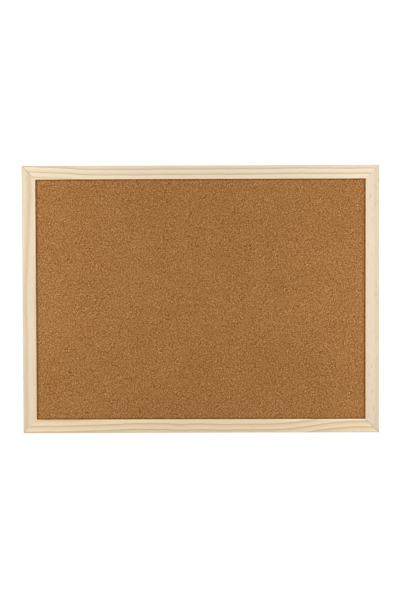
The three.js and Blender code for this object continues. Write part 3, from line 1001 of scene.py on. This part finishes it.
# %% The cork finish
CORK_DARK = (0.185, 0.052, 0.005, 1)
CORK_TAN = (0.433, 0.191, 0.0516, 1)
CORK_PALE = (0.71, 0.41, 0.187, 1)
CELLS_PER_MM = 1.35
CRUMBS_PER_MM = 2.9
PATCHES_PER_MM = 0.09
LIVELY_EDGE = (0.36, 0.64)
SHEET_TONES_PER_MM = 0.02
BENDS_PER_MM = 0.9
GRAIN_BEND = 0.8
GRAIN_TURN = math.radians(31)
BINDER_WIDTH = 0.12
COBBLE_SHARE, CELL_SHARE, CRUMB_SHARE = 0.43, 0.32, 0.25
CALM_GRAIN, LIVELY_GRAIN = 0.78, 1.10
MIDDLE_TONE = 0.5
BARK_STRENGTH = 0.95
FLAKE_STRENGTH = 0.85
# How dark the painted shade from the lip is beside the stiles, and under and above the rails.
LIP_SHADE_BESIDE = 0.06
LIP_SHADE_ABOVE = 0.55


def cork():
    finish, tint, shader = start_finish("cork", Specular_IOR_Level=0.15)
    place = millimetres(tint)
    x, y, z = axes_of(tint, place)
    cosine, sine = math.cos(GRAIN_TURN), math.sin(GRAIN_TURN)
    face = vector_of(tint, x * cosine + z * sine, z * cosine - x * sine, y)
    bends = {"Vector": face, "Scale": BENDS_PER_MM, "Detail": 2.0}
    warp = tint.node("ShaderNodeTexNoise", {}, bends, "Color")
    bent = tint.node("ShaderNodeVectorMath", {"operation": "MULTIPLY_ADD"},
                     {0: warp, 1: (GRAIN_BEND,) * 3, 2: face})
    fine = channel_of(tint, cells(tint, bent, CELLS_PER_MM, "Color"), "Red")
    finest = channel_of(tint, cells(tint, bent, CRUMBS_PER_MM, "Color"), "Green")
    from_seam = cells(tint, bent, CELLS_PER_MM, "Distance", feature="DISTANCE_TO_EDGE")
    seam = 1 - from_seam.step(0.0, BINDER_WIDTH)
    bark = specks(tint, bent, "Red", rarity=0.56, middle=0.10, rim=0.22)
    flakes = specks(tint, bent, "Green", rarity=0.70, middle=0.12, rim=0.26)
    broad = cloud(tint, place, SHEET_TONES_PER_MM) - NOISE_MIDDLE
    lively = cloud(tint, face, PATCHES_PER_MM, detail=1.0).step(*LIVELY_EDGE)
    contrast = CALM_GRAIN + lively * (LIVELY_GRAIN - CALM_GRAIN)
    grain = cobbles(tint, bent) * COBBLE_SHARE + fine * CELL_SHARE + finest * CRUMB_SHARE
    tone = (grain - MIDDLE_TONE) * contrast + MIDDLE_TONE + broad * 0.1
    # Painted shade from the lip: faint beside the stiles, strong under the top rail and above the bottom
    # rail.
    lip_shade = painted_lip_shade(tint, x, BOARD_MIDDLE.x, BOARD_SIZE.x) * LIP_SHADE_BESIDE
    lip_shade = lip_shade + painted_lip_shade(tint, z, BOARD_MIDDLE.z, BOARD_SIZE.z) * LIP_SHADE_ABOVE
    colour = tone.step(MIDDLE_TONE, 1.0).mix(CORK_TAN, CORK_PALE)
    colour = (1 - tone.step(0.0, MIDDLE_TONE)).mix(colour, CORK_DARK)
    colour = (bark * BARK_STRENGTH).mix(colour, CORK_DARK)
    colour = (flakes * FLAKE_STRENGTH).mix(colour, CORK_PALE)
    shade = (1 - seam * 0.1 + broad * 0.06) * (1 - lip_shade)
    paint(tint, shader, shade.lit(colour), roughness=0.86 + seam * 0.1)
    raise_surface(tint, shader, tone - seam * 0.8, strength=0.5, distance=0.12 * MM)
    return finish


as_piece(cork_piece, cork(), "cork_sheet")
print("cork finish on", cork_piece.name)

# %% [markdown]
# Core board and backing card
#
# Behind the cork lies soft fibreboard, which holds the pins, and behind that a brown kraft card. The
# board is sawn, so its edge is fuzzy; the card is thin and lies in very shallow waves. Two boxes would
# do from the front, but neither sheet is a perfect block, so the edge and the waves are moved by noise.

# %% Saw the core and cut the card
CORE_CUTS = 60
CORE_FUZZ = 0.25 * MM
CORE_EASE = 0.2 * MM
FUZZ_GRAIN = 2 * MM
CARD_GRID = 8 * MM
CARD_WAVE = 0.35 * MM
WAVE_LENGTH = 70 * MM
CARD_HELD = 14 * MM
card_low, card_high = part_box("backing_card")


def core_slab():
    low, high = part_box("core_board")
    size, middle = high - low, (low + high) / 2
    slab = bmesh.new()
    bmesh.ops.create_cube(slab, size=1)
    rim = [edge for edge in slab.edges if abs(edge.verts[0].co.y - edge.verts[1].co.y) < SAME_PLACE]
    bmesh.ops.subdivide_edges(slab, edges=rim, cuts=CORE_CUTS, use_grid_fill=False)
    placed(slab, Matrix.Translation(middle) @ Matrix.Diagonal((*size, 1)))
    for vert in slab.verts:
        inward = (middle - vert.co) * Vector((1, 0, 1))
        vert.co += inward.normalized() * CORE_FUZZ * noise.cell(vert.co / FUZZ_GRAIN)
    return slab


def card_sheet():
    """The card's front, which lies on the core, with shallow waves away from the points."""
    middle = (card_low + card_high) / 2
    grid = standing_grid((card_high - card_low) / 2, CARD_GRID)
    card = moved(grid, (middle.x, card_low.y, middle.z))
    for vert in card.verts:
        border = min(vert.co.x - card_low.x, card_high.x - vert.co.x,
                     vert.co.z - card_low.z, card_high.z - vert.co.z)
        free = min(max(border / CARD_HELD - 1, 0), 1)
        vert.co.y += free * CARD_WAVE * (1 + noise.noise(vert.co / WAVE_LENGTH)) / 2
    return card


core_piece = ease_edges(object_from(core_slab(), "sawn_core_board"), CORE_EASE)
card_piece = object_from(card_sheet(), "kraft_backing_card")
settle(card_piece, "SOLIDIFY", thickness=card_high.y - card_low.y, offset=-1.0)
print("core faces:", len(core_piece.data.polygons), "card faces:", len(card_piece.data.polygons))

# %% [markdown]
# Fibreboard and kraft
#
# The core is wood fibre, felted in layers, with pale chips here and there. The card is brown paper with
# a fine mottle of fibres, faint streaks and a few dark flecks. One plain brown could do for both, but
# their edges lie side by side at the back. So the fibreboard's noise is squeezed into layers, and the
# kraft's is drawn out into streaks.

# %% The fibreboard finish
BOARD_BROWN = (0.275, 0.175, 0.091, 1)
BOARD_PALE = (0.36, 0.25, 0.14, 1)
LAYERS_PER_MM = 2.5
CLUMPS_PER_MM = 0.5
CHIPS_PER_MM = 1.8
CHIP_EDGE = (0.6, 0.72)


def fibreboard():
    finish, tint, shader = start_finish("fibreboard", Specular_IOR_Level=0.2)
    place = millimetres(tint)
    x, y, z = axes_of(tint, place)
    layered = vector_of(tint, x * CLUMPS_PER_MM, y * LAYERS_PER_MM, z * CLUMPS_PER_MM)
    layers = cloud(tint, layered, detail=4.0)
    chips = cloud(tint, place, CHIPS_PER_MM, detail=3.0).step(*CHIP_EDGE)
    shade = 0.7 + layers * 0.6 + chips * 0.2
    paint(tint, shader, shade.lit(chips.mix(BOARD_BROWN, BOARD_PALE)), roughness=0.85 + layers * 0.12)
    raise_surface(tint, shader, layers + chips, strength=0.6, distance=0.2 * MM)
    return finish


as_piece(core_piece, fibreboard(), "core_board")
print("fibreboard finish on", core_piece.name)

# %% The kraft finish
KRAFT_BROWN = (0.434, 0.254, 0.112, 1)
KRAFT_PALE = (0.46, 0.275, 0.125, 1)
STREAKS_PER_MM = 0.9
STREAK_BREAKS_PER_MM = 0.08
FLECKS_PER_MM = 0.35
FLECK_RIM = (0.05, 0.16)
CLOUDS_PER_MM = 0.03
SLANT_ALONG, SLANT_ACROSS = 0.5, 0.9


def kraft():
    finish, tint, shader = start_finish("kraft_card", Specular_IOR_Level=0.25)
    place = millimetres(tint)
    x, y, z = axes_of(tint, place)
    slanted = vector_of(tint, x * SLANT_ALONG + z * SLANT_ACROSS, y, z * SLANT_ALONG - x * SLANT_ACROSS)
    streaks = cloud(tint, vector_of(tint, x * STREAK_BREAKS_PER_MM, y, z * STREAKS_PER_MM), detail=4.0)
    fibres = cloud(tint, slanted, detail=4.0)
    flecks = 1 - cells(tint, place, FLECKS_PER_MM, "Distance").step(*FLECK_RIM)
    clouds = cloud(tint, place, CLOUDS_PER_MM, detail=3.0)
    shade = 0.62 + streaks * 0.24 + fibres * 0.34 + clouds * 0.2 - flecks * 0.22
    paint(tint, shader, shade.lit(clouds.mix(KRAFT_BROWN, KRAFT_PALE)), roughness=0.72 + fibres * 0.2)
    raise_surface(tint, shader, fibres + streaks, strength=0.3, distance=0.05 * MM)
    return finish


as_piece(card_piece, kraft(), "backing_card")
print("kraft finish on", card_piece.name)

# %% [markdown]
# Ring hangers
#
# Each hanger is a strap of thin sheet, folded round the bar of a D-shaped ring and screwed to the
# stile. Its outline could be drawn and extruded across, but a sheet that is drawn as its maker folds it
# keeps the same thickness in every bend: up the wood, round the bar, back towards the wood and down
# again. Straight runs are extruded, bends are spun, and the sheet gets its thickness at the end.

# %% Draw a rim of edges on
def draw_on(shape, rim, move):
    """Draws a rim of edges on in a straight line and returns the new rim."""
    drawn = bmesh.ops.extrude_edge_only(shape, edges=rim)["geom"]
    bmesh.ops.translate(shape, verts=new_verts(drawn), vec=move)
    return [edge for edge in new_edges(drawn) if all(vert in new_verts(drawn) for vert in edge.verts)]


def bend_on(shape, rim, centre, axis, angle, steps):
    """Draws a rim of edges on round a bend and returns the new rim."""
    corners = dict.fromkeys(vert for edge in rim for vert in edge.verts)
    spun = bmesh.ops.spin(shape, geom=[*corners, *rim], cent=centre, axis=axis, angle=angle, steps=steps)
    return new_edges(spun["geom_last"])


# %% Fold a strap
STRAP_WIDTH = 6 * MM
STRAP_THICKNESS = 0.7 * MM
STRAP_SLIT = 0.1 * MM
STRAP_WRAP = math.radians(60)
SEAT_GAP = 0.2 * MM
RING_WIRE = 1.5 * MM
KNUCKLE_PLAY = 0.25 * MM
BEND_STEPS = 16
END_STEPS = 8

# A little under half the width, so that the two round corners of an end don't run into each other.
END_ROUND = 0.99 * STRAP_WIDTH / 2
LEAF_MIDDLE = SEAT_GAP + STRAP_THICKNESS / 2
REAR_LEAF_MIDDLE = LEAF_MIDDLE + STRAP_THICKNESS + STRAP_SLIT
KNUCKLE_RADIUS = RING_WIRE / 2 + KNUCKLE_PLAY + STRAP_THICKNESS / 2
PIVOT_OUT = LEAF_MIDDLE + KNUCKLE_RADIUS
BACK_BEND = PIVOT_OUT + KNUCKLE_RADIUS * math.cos(STRAP_WRAP) - REAR_LEAF_MIDDLE
BACK_BEND_RADIUS = BACK_BEND / (1 - math.cos(STRAP_WRAP))


def strap_sheet(drop):
    """The middle of the folded strap, with the ring's pivot over the origin."""
    half = STRAP_WIDTH / 2
    sheet = bmesh.new()
    foot = [sheet.verts.new((x, LEAF_MIDDLE, -drop - half)) for x in (-half, half)]
    rim = draw_on(sheet, [sheet.edges.new(foot)], (0, 0, drop + half))
    rim = bend_on(sheet, rim, (0, PIVOT_OUT, 0), (-1, 0, 0), math.pi + STRAP_WRAP, BEND_STEPS)
    bend_end = -(KNUCKLE_RADIUS + BACK_BEND_RADIUS) * math.sin(STRAP_WRAP)
    bend_middle = (0, REAR_LEAF_MIDDLE + BACK_BEND_RADIUS, bend_end)
    rim = bend_on(sheet, rim, bend_middle, (1, 0, 0), STRAP_WRAP, BEND_STEPS // 2)
    rim = draw_on(sheet, rim, (0, 0, -drop - half - bend_end))
    round_off(sheet, [*foot, *rim[0].verts], END_ROUND, END_STEPS, "VERTICES")
    return facing_out(sheet)


print("knuckle radius, mm:", round(KNUCKLE_RADIUS / MM, 2))

# %% [markdown]
# The ring is one wire: half the bar, a corner, a leg, the bow, the other leg and the other half of the
# bar, with its two ends facing each other inside the knuckle. A curve with a round bevel would do, but
# a wheel of edges drawn along straight runs and bends gives the same wire with clean, closed ends.

# %% Bend a ring
RING_SIDE_PLAY = 0.4 * MM
RING_LEG = 4.5 * MM
RING_CORNER = 1.2 * MM
RING_BUTT = 0.4 * MM
RING_HALF = STRAP_WIDTH / 2 + RING_SIDE_PLAY + RING_WIRE / 2
RING_REACH = RING_LEG + RING_HALF
STRAP_REAR = REAR_LEAF_MIDDLE + STRAP_THICKNESS / 2
RING_REST = math.asin((STRAP_REAR + SEAT_GAP + RING_WIRE / 2 - PIVOT_OUT) / RING_REACH)
WIRE_SIDES = 20
RING_CORNER_STEPS = 6
BOW_STEPS = 24


def ring_wire():
    """The ring, drawn straight down from a bar at the origin and then turned to where it rests."""
    bend = RING_HALF - RING_CORNER
    bar = bend - RING_BUTT / 2
    leg = RING_LEG - RING_CORNER
    wire = bmesh.new()
    bmesh.ops.create_circle(wire, segments=WIRE_SIDES, radius=RING_WIRE / 2)
    placed(wire, Matrix.Translation((RING_BUTT / 2, 0, 0)) @ Matrix.Rotation(QUARTER_TURN, 4, "Y"))
    rim = draw_on(wire, wire.edges[:], (bar, 0, 0))
    rim = bend_on(wire, rim, (bend, 0, -RING_CORNER), (0, 1, 0), QUARTER_TURN, RING_CORNER_STEPS)
    rim = draw_on(wire, rim, (0, 0, -leg))
    rim = bend_on(wire, rim, (0, 0, -RING_LEG), (0, 1, 0), 2 * QUARTER_TURN, BOW_STEPS)
    rim = draw_on(wire, rim, (0, 0, leg))
    rim = bend_on(wire, rim, (-bend, 0, -RING_CORNER), (0, 1, 0), QUARTER_TURN, RING_CORNER_STEPS)
    draw_on(wire, rim, (bar, 0, 0))
    bmesh.ops.holes_fill(wire, edges=open_edges(wire))
    return facing_out(placed(wire, Matrix.Rotation(RING_REST, 4, "X")))


print("ring lies at", round(math.degrees(RING_REST), 2), "degrees")

# %% [markdown]
# The screw has a pan head with a cross recess and a thread that bites into the stile. A plain pin under
# the head would do for what shows, but the screw can be taken out, so its thread is real. The body is
# half of its outline spun round the axis; the thread is a small triangle spun and drawn along at the
# same time.

# %% Turn a screw
SCREW_LENGTH = 10 * MM
SCREW_TIP = 3 * MM
SCREW_ROOT = 0.95 * MM
SCREW_HEAD = 5.4 * MM
SCREW_HEAD_HEIGHT = 1.8 * MM
SCREW_HEAD_RIM = 0.5 * MM
SCREW_HEAD_EASE = 0.12 * MM
SCREW_SIDES = 32
DOME_STEPS = 6


def screw_body():
    """Core and head along Y, with the underside of the head at the origin."""
    head = SCREW_HEAD / 2
    dome = SCREW_HEAD_HEIGHT - SCREW_HEAD_RIM
    outline = [(0, -SCREW_LENGTH), (SCREW_ROOT, SCREW_TIP - SCREW_LENGTH), (SCREW_ROOT, 0), (head, 0)]
    angles = [QUARTER_TURN * step / DOME_STEPS for step in range(DOME_STEPS + 1)]
    outline += [(head * math.cos(angle), SCREW_HEAD_RIM + dome * math.sin(angle)) for angle in angles]
    body = bmesh.new()
    line = [body.verts.new((x, y, 0)) for x, y in outline]
    edges = [body.edges.new(pair) for pair in zip(line, line[1:])]
    bmesh.ops.spin(body, geom=[*line, *edges], cent=(0, 0, 0), axis=(0, 1, 0), angle=4 * QUARTER_TURN,
                   steps=SCREW_SIDES, use_merge=True)
    bmesh.ops.remove_doubles(body, verts=body.verts, dist=SAME_PLACE)
    under = [vert for vert in body.verts if vert.co.y < SAME_PLACE]
    wide = [vert for vert in under if vert.co.xz.length > head - SAME_PLACE]
    rim = [edge for edge in body.edges if all(vert in wide for vert in edge.verts)]
    round_off(body, rim, SCREW_HEAD_EASE, EASE_STEPS)
    return facing_out(body)


print("screw head, mm:", round(SCREW_HEAD / MM, 1))

# %% Cut its thread and its recess
THREAD_PITCH = 1.1 * MM
THREAD_TURNS = 5
THREAD_STEPS = 16
THREAD_FLANK = 0.35 * THREAD_PITCH
THREAD_ROOT = 0.8 * SCREW_ROOT
SCREW_SLOT = Vector((3.2 * MM, 2.2 * MM, 0.9 * MM))


def screw_thread():
    """A triangle drawn round the core, from the start of the tip to below the strap."""
    foot = SCREW_TIP - SCREW_LENGTH
    corners = ((THREAD_ROOT, -THREAD_FLANK), (SCREW_SHANK / 2, 0), (THREAD_ROOT, THREAD_FLANK))
    thread = bmesh.new()
    loop = [thread.verts.new((x, foot + rise, 0)) for x, rise in corners]
    end = thread.faces.new(loop)
    spun = bmesh.ops.spin(thread, geom=[*loop, *end.edges], cent=(0, 0, 0), axis=(0, 1, 0),
                          dvec=(0, THREAD_PITCH / THREAD_STEPS, 0), angle=4 * QUARTER_TURN * THREAD_TURNS,
                          steps=THREAD_TURNS * THREAD_STEPS)
    bmesh.ops.holes_fill(thread, edges=new_edges(spun["geom_last"]))
    return facing_out(thread)


def cross_recess(turn):
    """One arm of the cross that the driver fits."""
    arm = bmesh.new()
    bmesh.ops.create_cube(arm, size=1)
    place = Matrix.Translation((0, SCREW_HEAD_HEIGHT, 0)) @ Matrix.Rotation(turn, 4, "Y")
    return placed(arm, place @ Matrix.Diagonal((*SCREW_SLOT, 1)))


print("thread of", THREAD_TURNS, "turns")

# %% Put a hanger together
STRAP_EASE = 0.1 * MM
RING_EASE = 0.12 * MM
HOLE_SIDES = 32
DRILL_LENGTH = 20 * MM
PAN_SCREW_TURN = {"left": math.radians(20), "right": math.radians(65)}


def hanger_strap(label, pivot, drop):
    foot = Vector((pivot.x, 0, pivot.z))
    strap = object_from(moved(strap_sheet(drop), foot), f"folded_strap_{label}")
    thicken(strap, STRAP_THICKNESS)
    bit = drill("strap_drill", HOLE_SIDES, DRILL_LENGTH, foot - Vector((0, 0, drop)))
    combine(strap, [bit])
    put_away([bit])
    return ease_edges(strap, STRAP_EASE)


def hanger_screw(label, seat):
    screw = object_from(screw_body(), f"pan_screw_{label}")
    thread = object_from(screw_thread(), "screw_thread")
    combine(screw, [thread], "UNION")
    arms = [object_from(cross_recess(turn), "recess_arm") for turn in (0, QUARTER_TURN)]
    combine(screw, arms)
    put_away([thread, *arms])
    screw.data.transform(Matrix.Translation(seat) @ Matrix.Rotation(PAN_SCREW_TURN[label], 4, "Y"))
    return screw


def hanger(label, finish):
    joint = next(joint for joint in frame["joints"] if joint["name"] == f"{label}_ring_swing")
    pivot = Vector(joint["pos_m"])
    low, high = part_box(f"{label}_hanger_screw")
    seat = Vector((pivot.x, STRAP_REAR + SEAT_GAP, (low.z + high.z) / 2))
    ring = ease_edges(object_from(moved(ring_wire(), pivot), f"wire_ring_{label}"), RING_EASE)
    as_piece(hanger_strap(label, pivot, pivot.z - seat.z), finish, f"{label}_hanger_strap")
    as_piece(hanger_screw(label, seat), finish, f"{label}_hanger_screw")
    as_piece(ring, finish, f"{label}_hanger_ring", f"{label}_ring")
    print(label, "hanger at", [round(value / MM, 2) for value in pivot])


print("screw heads turned by", [round(math.degrees(turn)) for turn in PAN_SCREW_TURN.values()], "degrees")

# %% [markdown]
# Zinc
#
# The hanger is steel with a thin coat of zinc: bright, a little blue, with a faint mottle and small
# rubs. A plain mirror would look like chrome, so the metal shader has noise in its colour and its
# roughness.

# %% The zinc finish
ZINC_BLUE = (0.46, 0.47, 0.485, 1)
ZINC_WARM = (0.50, 0.495, 0.475, 1)
MOTTLE_PER_MM = 0.9
RUBS_PER_MM = 7.0


def zinc_plate():
    finish, tint, shader = start_finish("zinc", Metallic=1.0)
    place = millimetres(tint)
    mottle = cloud(tint, place, MOTTLE_PER_MM, detail=4.0)
    rubs = cloud(tint, place, RUBS_PER_MM, detail=3.0)
    shade = 0.86 + mottle * 0.2 + rubs * 0.08
    colour = shade.lit(mottle.mix(ZINC_BLUE, ZINC_WARM))
    paint(tint, shader, colour, roughness=0.2 + mottle * 0.18 + rubs * 0.1)
    raise_surface(tint, shader, rubs, strength=0.15, distance=0.02 * MM)
    return finish


zinc = zinc_plate()
for label in HANGER_SIDES:
    hanger(label, zinc)

# %% [markdown]
# Stage and light
#
# The board is shown on plain white, lit softly from both sides, which leaves its middle a little darker
# than its ends, and by one long lamp overhead. Lamps behind the board light its back in the same way.
# The white could come from stronger light, but that would bleach the wood. So the world is white for
# the camera and for reflections and only a soft fill for everything else. The floor lies below the
# picture, and it glows for the same rays.

# %% Floor and world
FLOOR_DROP = 0.45
FLOOR_RADIUS = 1.0
FLOOR_SIDES = 96
FLOOR_GLOW = 0.5
FLOOR_WHITE = (0.95, 0.95, 0.945)
FLOOR_TONES_PER_MM = 0.004
FILL = 0.24


def seen_rays(tint):
    """1 for rays from the camera and for what metal mirrors, 0 for light that falls on the object."""
    kinds = ("Is Camera Ray", "Is Glossy Ray", "Is Transmission Ray")
    camera, glossy, through = (tint.node("ShaderNodeLightPath", {}, {}, kind) for kind in kinds)
    return tint.reckon("MAXIMUM", tint.reckon("MAXIMUM", camera, glossy), through)


def pale_floor():
    disc = bmesh.new()
    bmesh.ops.create_circle(disc, cap_ends=True, segments=FLOOR_SIDES, radius=FLOOR_RADIUS)
    floor = object_from(moved(disc, (0, 0, BOARD_LOW.z - FLOOR_DROP)), "floor")
    finish, tint, shader = start_finish("floor_paint", Roughness=0.9, Emission_Strength=FLOOR_GLOW)
    tone = 0.9 + cloud(tint, millimetres(tint), FLOOR_TONES_PER_MM) * 0.04
    tint.feed(shader.inputs["Base Color"], tone.lit(FLOOR_WHITE))
    tint.feed(shader.inputs["Emission Color"], seen_rays(tint))
    floor.data.materials.append(finish)
    floor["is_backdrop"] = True


def white_world():
    world = bpy.data.worlds.new("studio")
    bpy.context.scene.world = world
    world.use_nodes = True
    tint = Tint(world.node_tree)
    background = world.node_tree.nodes["Background"]
    background.inputs["Color"].default_value = (1, 1, 1, 1)
    tint.feed(background.inputs["Strength"], FILL + seen_rays(tint) * (1 - FILL))


pale_floor()
white_world()
print("world fill:", FILL)

# %% Lamps
LAMP_OUT = 0.43
LAMP_AWAY = 0.34
LAMP_RISE = 0.06
LAMP_SIZE = (0.25, 0.6)
LAMP_POWER = 1.69
OVERHEAD_RISE = 0.75
OVERHEAD_SIZE = (0.6, 0.1)
OVERHEAD_POWER = 1.2
LAMP_HANDS = {"left": (-1, -1), "right": (1, -1), "rear_left": (-1, 1), "rear_right": (1, 1)}


def lamp(name, place, size, power):
    light = bpy.data.lights.new(name, "AREA")
    light.shape = "RECTANGLE"
    light.size, light.size_y = size
    light.energy = power
    made = bpy.data.objects.new(name, light)
    made.location = place
    made.rotation_euler = (BOARD_MIDDLE - Vector(place)).to_track_quat("-Z", "Y").to_euler()
    made.visible_camera = False
    bpy.context.scene.collection.objects.link(made)


for name, (hand, facing) in LAMP_HANDS.items():
    place = (hand * LAMP_OUT, facing * LAMP_AWAY, BOARD_MIDDLE.z + LAMP_RISE)
    lamp("lamp_" + name, place, LAMP_SIZE, LAMP_POWER)
lamp("lamp_overhead", BOARD_MIDDLE + Vector((0, 0, OVERHEAD_RISE)), OVERHEAD_SIZE, OVERHEAD_POWER)
print("lamps:", LAMP_POWER, "W at the sides,", OVERHEAD_POWER, "W overhead")

# %% [markdown]
# Camera
#
# The photograph looks almost straight at the board, through a long lens from a little above its middle.
# A camera without perspective would be simpler, but then nothing far would look smaller than what is
# near. So the lens, the place and three small turns are set until the frame's corners fall where they
# do in the photograph.

# %% Set up the camera
# The focal length and the height are in pixels of the photograph, the sensor's long side in millimetres.
IMAGE_HEIGHT = 601
FOCAL_PIXELS = 1427.0
SENSOR = 36
CAMERA_PLACE = Vector((0.0065, -1.6, 0.0545))
CAMERA_YAW, CAMERA_PITCH, CAMERA_ROLL = (math.radians(angle) for angle in (0.242, -1.99, 0.184))


def photo_camera():
    """A long lens straight in front of the board, turned by the small angles of the photograph."""
    data = bpy.data.cameras.new("photo_camera")
    data.sensor_width = SENSOR
    data.lens = FOCAL_PIXELS / IMAGE_HEIGHT * SENSOR
    camera = bpy.data.objects.new("photo_camera", data)
    front = Vector((BOARD_MIDDLE.x, BOARD_LOW.y, BOARD_MIDDLE.z))
    turns = ((CAMERA_YAW, "Z"), (CAMERA_PITCH, "X"), (CAMERA_ROLL, "Y"), (QUARTER_TURN, "X"))
    look = Matrix.Translation(front + CAMERA_PLACE)
    for angle, axis in turns:
        look = look @ Matrix.Rotation(angle, 4, axis)
    camera.matrix_world = look
    bpy.context.scene.collection.objects.link(camera)
    bpy.context.scene.camera = camera
    return data.lens


print("lens, mm:", round(photo_camera(), 2))
bpy.context.scene.view_settings.view_transform = "Standard"

# %% [markdown]
# Size
#
# The pieces must not make the board bigger than its packed solids. That could be left to a look at the
# picture, but a millimetre doesn't show there, so both boxes are printed side by side.

# %% Print both boxes
boxes = {"cad": CAD_BOX, "visual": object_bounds()}
sizes = {name: [round(side / MM, 2) for side in high - low] for name, (low, high) in boxes.items()}
print("sizes, mm:", sizes)
